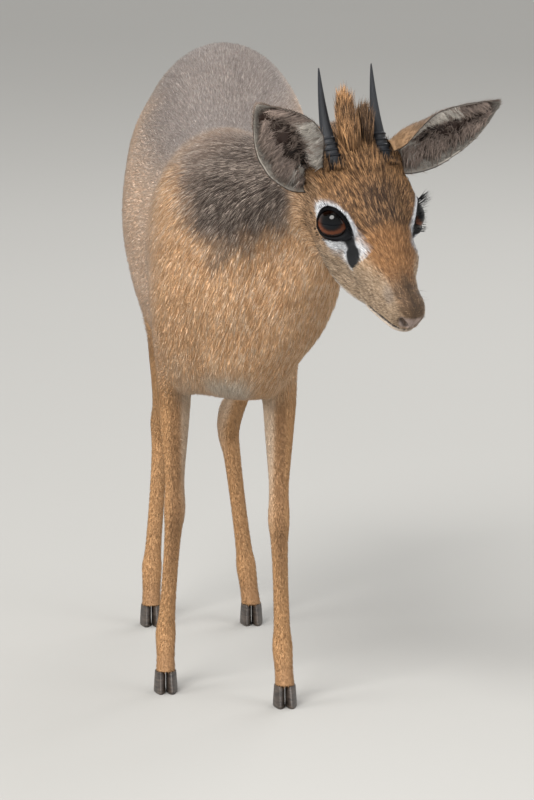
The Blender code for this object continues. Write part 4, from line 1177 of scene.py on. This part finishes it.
def earPlace(word, across, along):
    # Points on the ear's middle surface and the way its inside faces there; across is 1 at the outer edge
    own = ears[word]
    rows = np.array(own["rows"])
    at = [sum(np.interp(along + step, rows[:, 0], rows[:, k]) for step in (-0.03, 0, 0.03)) / 3
          for k in (1, 2, 3, 4)]
    at[1] = np.where(along > 0.93, np.interp(along, rows[:, 0], rows[:, 2]), at[1])
    offset, radius, inner, outer = at
    base, axis, facing = onHead(*own["root"]), headWay(*own["axis"]), headWay(*own["facing"])
    facing = unit(facing - axis * (facing @ axis))
    sideways = np.cross(axis, facing) * sideOf(word)
    angle = np.radians(np.where(across < 0, inner, outer)) * across
    fold = 0.0006 * np.cos(across * 9.0) * ease(along, 0.04, 0.25) * fade(along, 0.65, 0.92)
    point = (base + axis * (own["length"] * along)[:, None]
             + sideways * (radius * np.sin(angle) - offset)[:, None]
             + facing * (radius * (1 - np.cos(angle)) - 0.007 * along ** 2 + fold)[:, None])
    return point, facing * np.cos(angle)[:, None] - sideways * np.sin(angle)[:, None]


def earColour(across, along, inner):
    # Inside: dark, and darkest down the middle of the hollow as painted shade; grey band along the outer
    # edge. Outside: grizzled brown, tan at the root
    def mixed(colour, name, amount):
        return colour * (1 - amount[:, None]) + earFurs[name] * amount[:, None]

    # Painted shade down the middle of the hollow
    deep = fade(np.abs(across + 0.05), 0.10, 0.55) * fade(along, 0.25, 0.60)
    front = mixed(earFurs["inside"], "deep", deep)
    front = mixed(front, "edge", np.maximum(ease(across, 0.56, 0.80), ease(along, 0.88, 0.95)))
    rear = mixed(earFurs["back"], "root", fade(along, 0.12, 0.42))
    light = ease(np.abs(across), 0.935, 0.955) * fade(np.abs(across), 0.965, 0.985) * 0.8
    colour = mixed(np.where(inner, front, rear), "line", light * ease(along, 0.30, 0.48))
    return mixed(colour, "rim", ease(np.abs(across), 0.972, 0.99))


# Thin gristle under skin: dull, faintly waxy, with fine creases
earSkin = grainMaterial("ear skin", {"Scale": 1 / 0.002, "Detail": 4.0}, (0.7, 1.25), bump=(0.4, 0.0004),
                        Roughness=0.55, IOR=1.45)


def buildEar(word):
    nx, ny = ears["steps"]
    across, along = np.meshgrid(np.linspace(-1, 1, nx), np.linspace(0, 1, ny))
    across, along = across.ravel(), along.ravel()
    point, inside = earPlace(word, across, along)
    thick = (ears["thick"] * (1 - 0.5 * np.abs(across) ** 4) * (1 - 0.4 * along))[:, None] / 2
    half = nx * ny
    faces = []
    for j in range(ny - 1):
        for i in range(nx - 1):
            a, b, c, d = j * nx + i, j * nx + i + 1, (j + 1) * nx + i + 1, (j + 1) * nx + i
            faces += [(a, b, c, d), (a + half, d + half, c + half, b + half)]
    # The border, once round, joins the inside to the outside
    grid = np.arange(half).reshape(ny, nx)
    edge = [*grid[0], *grid[1:, -1], *grid[-1, -2::-1], *grid[-2:0:-1, 0]]
    faces += [(int(b), int(a), int(a) + half, int(b) + half) for a, b in zip(edge, edge[1:] + edge[:1])]
    mesh = shiftedMesh("ear_" + word, np.concatenate([point + inside * thick, point - inside * thick]), faces)
    inner = np.repeat([True, False], half)[:, None]
    setTint(mesh, earColour(np.tile(across, 2), np.tile(along, 2), inner))
    mend(mesh)
    finishPiece(newObject("ear_blade_" + word, mesh), earSkin, "ear_skin", "ear_" + word)


def growEar(word):
    own = ears[word]
    line = [onHead(*own["root"]), onHead(*own["root"]) + headWay(*own["axis"]) * own["length"]]
    few = 1.0

    def shortHair(count, acrossRange, alongRange, inner, length, least):
        # Hair laid along the ear, on its inside or its outside
        count = int(count * few)
        across, along = rng.uniform(*acrossRange, count), rng.uniform(*alongRange, count)
        point, out = earPlace(word, across, along)
        ahead = earPlace(word, across * (0.985 if inner else 1.0), along + 0.02)[0]
        if not inner:
            out = -out
        lie = unit(unit(ahead - point) + rng.normal(0, 0.16, (count, 3)))
        tint = earColour(np.maximum(across, least) * 0.9, along, inner) * rng.uniform(0.60, 1.35, (count, 1))
        return {"root": point + out * ears["thick"] * 0.3, "normal": out, "lie": lie,
                "lift": 0.20 * rng.uniform(0.5, 1.5, count), "length": length * rng.uniform(0.7, 1.25, count),
                "colour": tint, "tip": tint * 1.1}

    def clumps(count, each, acrossRange, alongRange, inward, reach, name, shade, spread):
        # Long hairs whose tips draw together over the hollow
        count = int(count * max(few, 0.6))
        middleAcross, middleAlong = rng.uniform(*acrossRange, count), rng.uniform(*alongRange, count)
        goalAcross = middleAcross + inward * rng.uniform(0.6, 1.3, count)
        goal, goalIn = earPlace(word, goalAcross, middleAlong + rng.uniform(-0.02, 0.10, count))
        goal = goal + goalIn * rng.uniform(0.0012, 0.0034, (count, 1))
        across = np.clip(np.repeat(middleAcross, each) + rng.normal(0, spread, count * each), -0.985, 0.985)
        along = np.clip(np.repeat(middleAlong, each) + rng.normal(0, 0.022, count * each), 0.01, 0.97)
        point, inside = earPlace(word, across, along)
        towards = np.repeat(goal, each, 0) + rng.normal(0, 0.0011, (len(point), 3)) - point
        far = np.linalg.norm(towards, axis=1)
        length = np.minimum(far * rng.uniform(0.75, 1.15, len(far)), reach)
        # Rows without a shade of their own take the ear's; the right ear's is painted shade
        colour = earFurs[name] * (shade or ears["palePaintedShade"][word])
        tint = colour * rng.uniform(0.72, 1.25, (count, 1))
        tint = np.repeat(tint, each, 0) * rng.uniform(0.8, 1.2, (len(point), 1))
        return {"root": point + inside * ears["thick"] * 0.3, "normal": inside, "lie": unit(towards),
                "lift": 0.22 * rng.uniform(0.6, 1.4, len(far)), "length": length, "colour": tint,
                "tip": tint * 1.15}

    for name, grow, rows, bend in (("coat_ear_", shortHair, ears["short"], False),
                                   ("ear_hair_", clumps, ears["clumps"], True)):
        groups = [grow(*row) for row in rows]
        tufts = {key: np.concatenate([group[key] for group in groups]) for key in groups[0]}
        tufts.update(width=ears["hairWidth"], bend=bend)
        tuftPiece(name + word, tufts, faceHair, "ear_skin", line)


for earWord in ("left", "right"):
    buildEar(earWord)
    growEar(earWord)

# Eyes: wet dark balls, brown iris round a wide level pupil. Colours by distance from the gaze
iris = {"stops": [(0.0, "#04060a"), (0.36, "#04060a"), (0.43, "#220f07"), (0.52, "#532c1a"),
                  (0.59, "#532c1a"), (0.64, "#1a0c08"), (0.70, "#0c0908")],
        "flatten": 0.80, "shadow": {"From Min": -0.20, "From Max": 0.25, "To Min": 1.0, "To Max": 0.05}}


def eyeMaterial():
    # Cornea over iris: clear, wet and very smooth. IOR of the cornea 1.376
    made, tree, shader = newMaterial("wet eye", Roughness=0.04, IOR=1.376, Specular_IOR_Level=0.34)
    where = addNode(tree, "ShaderNodeAttribute", {"attribute_name": "onEye"}).outputs["Vector"]
    parts = addNode(tree, "ShaderNodeSeparateXYZ", i0=where)
    wide = addNode(tree, "ShaderNodeMath", {"operation": "MULTIPLY", 1: iris["flatten"]}, i0=parts.outputs[0])
    flatWay = addNode(tree, "ShaderNodeCombineXYZ", i0=wide.outputs[0], i1=parts.outputs[1])
    reach = addNode(tree, "ShaderNodeVectorMath", {"operation": "LENGTH"}, i0=flatWay.outputs[0])
    fibres = addNode(tree, "ShaderNodeTexNoise", {"Scale": 9.0, "Detail": 3.0}, Vector=where)
    nudge = addNode(tree, "ShaderNodeMapRange", {"To Min": -0.05, "To Max": 0.05},
                    Value=fibres.outputs["Fac"])
    total = addNode(tree, "ShaderNodeMath", {"operation": "ADD"}, i0=reach.outputs["Value"],
                    i1=nudge.outputs[0])
    ramp = addNode(tree, "ShaderNodeValToRGB", Fac=total.outputs[0])
    elements = ramp.color_ramp.elements
    while len(elements) < len(iris["stops"]):
        elements.new(0.5)
    for element, (at, code) in zip(elements, iris["stops"]):
        element.position = at
        element.color = (*linear(code), 1)
    # The upper lid's lashes shade the iris from above
    shade = addNode(tree, "ShaderNodeMapRange", iris["shadow"], Value=parts.outputs[1])
    dimmed = addNode(tree, "ShaderNodeVectorMath", {"operation": "SCALE"}, i0=ramp.outputs[0],
                     Scale=shade.outputs[0])
    tree.links.new(dimmed.outputs[0], shader.inputs["Base Color"])
    return made


# Bare, pigmented lid skin, damp at the edge: nearly black satin
lidSkin = grainMaterial("lid skin", {"Scale": 1 / 0.0012, "Detail": 3.0},
                        stops=[(0, "#050506"), (1, "#111114")], bump=(0.4, 0.0003),
                        Roughness=0.60, IOR=1.45, Specular_IOR_Level=0.12)
eyeWet = eyeMaterial()
# Lids, from the wet edge on the ball out to the skin: share of the way, rise above ball and skin
lids = {"steps": 128,
        "profile": [(0.0, -0.0012), (0.0, 0.0003), (0.06, 0.0007), (0.16, 0.0010), (0.30, 0.0009),
                    (0.42, 0.0007), (0.60, 0.0009), (0.80, 0.0008), (1.0, 0.0004), (1.10, -0.0004),
                    (1.16, -0.0020)]}
# Lashes: from and to around the lid, count, length
lashes = {"upper": (0.30, 2.9, 90, 0.0105), "lower": (-2.7, -0.6, 36, 0.0042), "width": 0.00030,
          "colour": "#0b0a0b"}


def ballWays(polar, theta, frameAxes):
    # Unit ways at polar angle and turn, in radians, about the first of three axes
    axis, corner, above = frameAxes
    return (np.cos(polar)[..., None] * axis + (np.sin(polar) * np.cos(theta))[..., None] * corner
            + (np.sin(polar) * np.sin(theta))[..., None] * above)


def skinReach(centre, ways):
    # How far the skin is from the eye's centre along each way
    steps = np.linspace(0.0105, 0.0225, 61)
    points = centre + ways[:, None] * steps[None, :, None]
    gap = skinDistance(points.reshape(-1, 3)).reshape(len(ways), -1)
    return np.where(gap.max(1) > 0, steps[np.argmax(gap > 0, axis=1)], 0.0150)


def setPlaces(mesh, name, values):
    layer = mesh.attributes.new(name, "FLOAT_VECTOR", "POINT")
    layer.data.foreach_set("vector", values.astype(np.float32).ravel())


def buildEye(side):
    word = "left" if side > 0 else "right"
    frameAxes = eyeAxes(side)
    axis, corner, above = frameAxes
    centre, radius = eyeCentre(side), eyes["radius"]
    gaze = headWay(eyes["gaze"][0], eyes["gaze"][1] * side, eyes["gaze"][2])
    upWay = unit(np.array([0, 0, 1.0]) - gaze * gaze[2])
    levelWay = np.cross(upWay, gaze)
    polar, around = np.linspace(0.0001, math.pi - 0.0001, 57), np.linspace(0, 2 * math.pi, 72, endpoint=False)
    p, q = np.meshgrid(polar, around, indexing="ij")
    bulge = radius * (0.985 + 0.035 * np.exp(-(p / 0.62) ** 4))[..., None]
    mesh = sweptMesh("eye", centre + ballWays(p, q, (gaze, levelWay, upWay)) * bulge)
    mend(mesh)
    points = pointsOf(mesh) - shift - centre
    onEye = np.column_stack([points @ levelWay, points @ upWay, np.zeros(len(points))]) / radius
    setPlaces(mesh, "onEye", np.where((points @ gaze < 0)[:, None], 2.0, onEye))
    finishPiece(newObject("eyeball_" + word, mesh), eyeWet, "eye", "eye_" + word)
    theta = np.linspace(-math.pi, math.pi, lids["steps"], endpoint=False)
    inner, outer = np.radians(lidAngles(theta)), np.radians(lidAngles(theta, "outer"))
    ends = skinReach(centre, ballWays(outer, theta, frameAxes))
    ends = np.convolve(np.concatenate([ends[-4:], ends, ends[:4]]), np.ones(9) / 9, "valid")
    rings = []
    for share, rise in lids["profile"]:
        angle = inner + (outer - inner) * share + (0.02 if share > 1 else 0)
        level = min(share, 1.0)
        reach = radius * (1 - level) + ends * level + rise
        rings.append(centre + ballWays(angle, theta, frameAxes) * reach[:, None])
    mesh = sweptMesh("lids", np.stack(rings, 1), True)
    mend(mesh)
    finishPiece(newObject("lids_" + word, mesh), lidSkin, "face_coat")
    # Long lashes on the upper lid, and a few short ones below
    for name in ("upper", "lower"):
        low, high, count, size = lashes[name]
        at = rng.uniform(low, high, count)
        start = np.radians(0.5 * (lidAngles(at) + lidAngles(at, "outer")))
        way = ballWays(start, at, frameAxes)
        outward = unit(way * 0.2 + (np.cos(at)[:, None] * corner + np.sin(at)[:, None] * above) * 0.45
                       + axis * 1.0 + rng.normal(0, 0.12, (count, 3)))
        size = size * (0.55 + 0.45 * np.sin((at - low) / (high - low) * math.pi))
        tufts = {"root": centre + way * (radius + 0.0010),
                 "normal": np.tile(unit(above + 0.3 * axis), (count, 1)), "lie": outward,
                 "length": size * rng.uniform(0.7, 1.1, count), "width": lashes["width"],
                 "lift": 0.30, "rise": 0.8, "rootShade": 1.0,
                 "colour": np.tile(linear(lashes["colour"]), (count, 1))}
        tuftPiece(f"lashes_{name}_{word}", tufts, lidSkin, "face_coat",
                  [centre - axis * 0.01, centre + axis * 0.02])


for eyeSide in (1, -1):
    buildEye(eyeSide)

# Horns: straight black spikes, ringed near the root and smooth above, with dark hair that climbs the root
horn = {"length": 0.0662, "radius": 0.0054, "rise": 30.0, "lean": 0.0275, "spread": 0.0175, "rings": 4,
        "ringFrom": 0.13, "ringTo": 0.37, "ringHeight": 0.00125, "bow": 0.0035, "around": 40}
hornHair = {"count": 420, "from": 0.0050, "to": 0.0105, "width": 0.00046, "length": (0.0035, 0.0085)}
# Horn sheath: blue-black keratin, grooved lengthways, rubbed smoother here and there
hornSheath = grainMaterial("horn sheath", {"Scale": 5.0, "Detail": 5.0, "Roughness": 0.6},
                           stops=[(0.32, "#060709"), (0.74, "#1d2129")], along="onHorn",
                           stretch=(3.0, 3.0, 2.2), bump=(0.45, 0.0005), rough=(0.42, 0.62),
                           IOR=1.55, Specular_IOR_Level=0.35)


def buildHorn(side):
    word = "left" if side > 0 else "right"
    rise = math.radians(horn["rise"])
    axis = headWay(-math.cos(rise), horn["lean"] + horn["spread"] * side, math.sin(rise))
    root = onHead(0.0105, 0.0180 * side, 0.0225) - axis * 0.0125
    across = unit(np.cross(axis, axes[2]))
    other = np.cross(axis, across)
    share = np.concatenate([np.linspace(0, 0.36, 90), np.linspace(0.37, 1, 50)])
    around = np.linspace(0, 2 * math.pi, horn["around"], endpoint=False)
    taper = horn["radius"] * (1 - share) ** 0.85 + 0.0004 + 0.0010 * np.exp(-(share / 0.33) ** 2)
    phase = np.clip((share - horn["ringFrom"]) / (horn["ringTo"] - horn["ringFrom"]), 0, 1)
    saw = (phase * horn["rings"]) % 1.0
    ridge = np.where((phase > 0) & (phase < 1), np.exp(-((saw - 0.70) / 0.16) ** 2), 0) * horn["ringHeight"]
    ridge *= 1 - 0.45 * phase
    bow = (horn["bow"] * 4 * share * (1 - share))[:, None]
    line = root + axis * (horn["length"] * share)[:, None] - axes[2] * bow
    wobble = 1 + 0.012 * np.sin(around * 5 + 1.0)[None] + 0.02 * np.cos(around)[None] * (1 - share)[:, None]
    size = (taper * 0.985)[:, None] * wobble + ridge[:, None] * (0.75 + 0.25 * np.cos(around + 0.5)[None])
    rings = (line[:, None] + size[..., None] * (np.cos(around)[None, :, None] * across
                                                + np.sin(around)[None, :, None] * other))
    foot, tip = (np.repeat(rings[end].mean(0)[None, None], len(around), 1) for end in (0, -1))
    rings = np.concatenate([foot, rings, tip])
    mesh = sweptMesh("horn", rings)
    far = np.concatenate([share[:1], share, share[-1:]])[:, None]
    setPlaces(mesh, "onHorn", np.stack([np.broadcast_to(values, rings.shape[:2]) for values in
                                        (np.cos(around), np.sin(around), far)], -1))
    mend(mesh)
    finishPiece(newObject("horn_sheath_" + word, mesh), hornSheath, "horn", "horn_" + word)
    count = hornHair["count"]
    turn, out = rng.uniform(0, 2 * math.pi, count), rng.uniform(hornHair["from"], hornHair["to"], count)
    ways = np.cos(turn)[:, None] * across + np.sin(turn)[:, None] * other
    steps = np.linspace(0, 0.028, 57)
    column = root + ways[:, None] * out[:, None, None] + axis * steps[None, :, None]
    gap = skinDistance(column.reshape(-1, 3)).reshape(count, -1)
    start = column[np.arange(count), np.argmax(gap > 0, axis=1)]
    dusky = rng.random((count, 1)) < 0.85 - (out[:, None] - 0.005) / 0.008
    tint = np.where(dusky, furColours["forehead"][0], furColours["crown"][1])
    tint = tint * rng.uniform(0.7, 1.3, (count, 1))
    lie = unit(axis - ways * 0.10 + rng.normal(0, 0.14, (count, 3)))
    length = rng.uniform(*hornHair["length"], count) * (1.25 - out / 0.02)
    tufts = {"root": start, "normal": ways, "lie": lie, "length": length, "width": hornHair["width"],
             "lift": 0.15, "colour": tint, "tip": tint * 1.1}
    tuftPiece("horn_hair_" + word, tufts, faceHair, "face_coat", [root, root + axis * 0.03])


for hornSide in (1, -1):
    buildHorn(hornSide)
print("head pieces done")

# Hooves and dewclaws
hoof = {"length": 0.025, "height": 0.0135, "width": 0.0078, "levels": 14, "around": 40, "apart": 0.0040}
dewclaw = {"length": 0.0058, "radius": 0.0019, "levels": 9, "around": 20}
# Hoof wall: worn dark horn, level growth lines about 1 mm apart
hoofWall = grainMaterial("hoof wall", {"Scale": 1.0, "Detail": 3.0},
                         stops=[(0.35, "#1f1a17"), (0.70, "#4b4139")], stretch=(120.0, 120.0, 900.0),
                         bump=(0.4, 0.0004), Roughness=0.48, IOR=1.55)


def buildHoof(name, foot, inner):
    around = np.linspace(0, 2 * math.pi, hoof["around"], endpoint=False)
    across, ahead = np.cos(around), -np.sin(around)
    point = 1 - 0.42 * np.maximum(0.0, ahead) ** 1.4
    rings = []
    for s in np.linspace(0, 1, hoof["levels"]):
        x = 0.5 * hoof["width"] * np.where(across * inner < 0, across * point, across * 0.97)
        y = -hoof["length"] * ahead * np.where(ahead > 0, 0.60, 0.34)
        top = s ** 1.15
        x = x * (1 - 0.10 * top) + 0.0005 * inner * top
        y = y * (1 - np.where(ahead > 0, 0.48, 0.08) * top) + 0.001 * top
        bevel = 1 - 0.05 * math.exp(-s * 14) - 0.02 * math.exp(-(1 - s) * 16)
        rings.append(np.column_stack([foot[0] - hoof["apart"] * inner + x * bevel, foot[1] + y * bevel,
                                      np.full(len(around), hoof["height"] * s)]))
    rings = np.stack(rings)
    low, high = (np.broadcast_to(rings[end].mean(0), rings[:1].shape) for end in (0, -1))
    mesh = sweptMesh(name, np.concatenate([low, rings, high]))
    mend(mesh)
    mesh.set_sharp_from_angle(angle=math.radians(50))
    finishPiece(newObject(name + "_wall", mesh), hoofWall, "hoof", name)


def buildDewclaw(name, fetlock, side):
    # A small blunt cone behind the fetlock, pointing down
    base = np.array(fetlock) + (0.0036 * side, 0.0066, 0.0024)
    way = unit((0.06 * side, 0.50, -1.0))
    across = unit(np.cross(way, (1, 0, 0)))
    other = np.cross(way, across)
    around = np.linspace(0, 2 * math.pi, dewclaw["around"], endpoint=False)
    section = np.cos(around)[:, None] * across + 0.75 * np.sin(around)[:, None] * other
    rings = [np.broadcast_to(base, section.shape)]
    for s in np.linspace(0, 1, dewclaw["levels"]):
        size = dewclaw["radius"] * (1 - s ** 2.2) ** 0.5 + 0.00002
        rings.append(base + way * dewclaw["length"] * s + size * section)
    mesh = sweptMesh(name, np.stack(rings))
    mend(mesh)
    finishPiece(newObject(name, mesh), hoofWall, "hoof")


for legName, joints in legs.items():
    for toe, inner in (("inner", 1), ("outer", -1)):
        buildHoof(f"hoof_{legName}_{toe}", joints[4], inner)
        buildDewclaw(f"dewclaw_{legName}_{toe}", joints[3], -inner)
print("hooves done")

# Floor, light and camera. Lamps: place, size, watts, colour
stage = {"floor": ("#a4a3a0", "#a6a5a2"), "floorHalf": 30.0, "sky": "#ecebe9", "lampsAim": (0.0, 0.0, 0.25)}
lamps = {"key": ((-1.1, -1.9, 2.3), (1.3, 1.3), 82, (1.0, 0.985, 0.96)),
         "side": ((-2.6, -1.1, 0.8), (2.2, 1.6), 58, (1.0, 0.99, 0.97)),
         "fill": ((2.0, -1.4, 1.2), (1.8, 1.8), 20, (0.98, 0.99, 1.0)),
         "rim": ((0.9, 2.2, 1.9), (1.4, 1.0), 26, (1.0, 1.0, 1.0))}
view = {"azimuth": -3.5, "elevation": 9.0, "distance": 4.5, "aim": (0.0226, -0.13, 0.2),
        "pixelsPerMetre": 1550, "pixelsHigh": 800, "sensor": 36}


def buildStage():
    mesh = bpy.data.meshes.new("floor")
    half = stage["floorHalf"]
    corners = [(-half, -half, 0), (half, -half, 0), (half, half, 0), (-half, half, 0)]
    mesh.from_pydata(corners, [], [(0, 1, 2, 3)])
    floor = newObject("floor", mesh)
    # Matt paint, faintly uneven over half a metre
    dark, light = stage["floor"]
    mesh.materials.append(grainMaterial("painted floor", {"Scale": 2.0, "Detail": 2.0},
                                        stops=[(0, dark), (1, light)], Roughness=0.9))
    world = bpy.data.worlds.new("studio")
    bpy.context.scene.world = world
    world.use_nodes = True
    sky = world.node_tree.nodes["Background"]
    sky.inputs[0].default_value = (*linear(stage["sky"]), 1)
    sky.inputs[1].default_value = 1.0


def buildLights():
    for name, (place, size, power, colour) in lamps.items():
        data = bpy.data.lights.new(name, "AREA")
        data.shape = "ELLIPSE"
        data.size, data.size_y = size
        data.energy = power
        data.color = colour
        lamp = newObject(name, data)
        lamp.location = place
        lamp.visible_glossy = name != "side"      # no second glint in the eye
        lamp.rotation_euler = (Vector(stage["lampsAim"]) - Vector(place)).to_track_quat("-Z", "Y").to_euler()


def buildCamera():
    az, el = math.radians(view["azimuth"]), math.radians(view["elevation"])
    back = Vector((math.sin(az) * math.cos(el), -math.cos(az) * math.cos(el), math.sin(el)))
    data = bpy.data.cameras.new("camera")
    camera = newObject("camera", data)
    camera.location = Vector(view["aim"]) + Vector(shift) + back * view["distance"]
    camera.rotation_euler = (-back).to_track_quat("-Z", "Y").to_euler()
    data.sensor_fit = "AUTO"
    data.sensor_width = view["sensor"]
    data.lens = view["sensor"] * view["distance"] / (view["pixelsHigh"] / view["pixelsPerMetre"])
    bpy.context.scene.camera = camera


buildStage()
buildLights()
buildCamera()
bpy.context.scene.view_settings.view_transform = "Standard"
print("stage done")
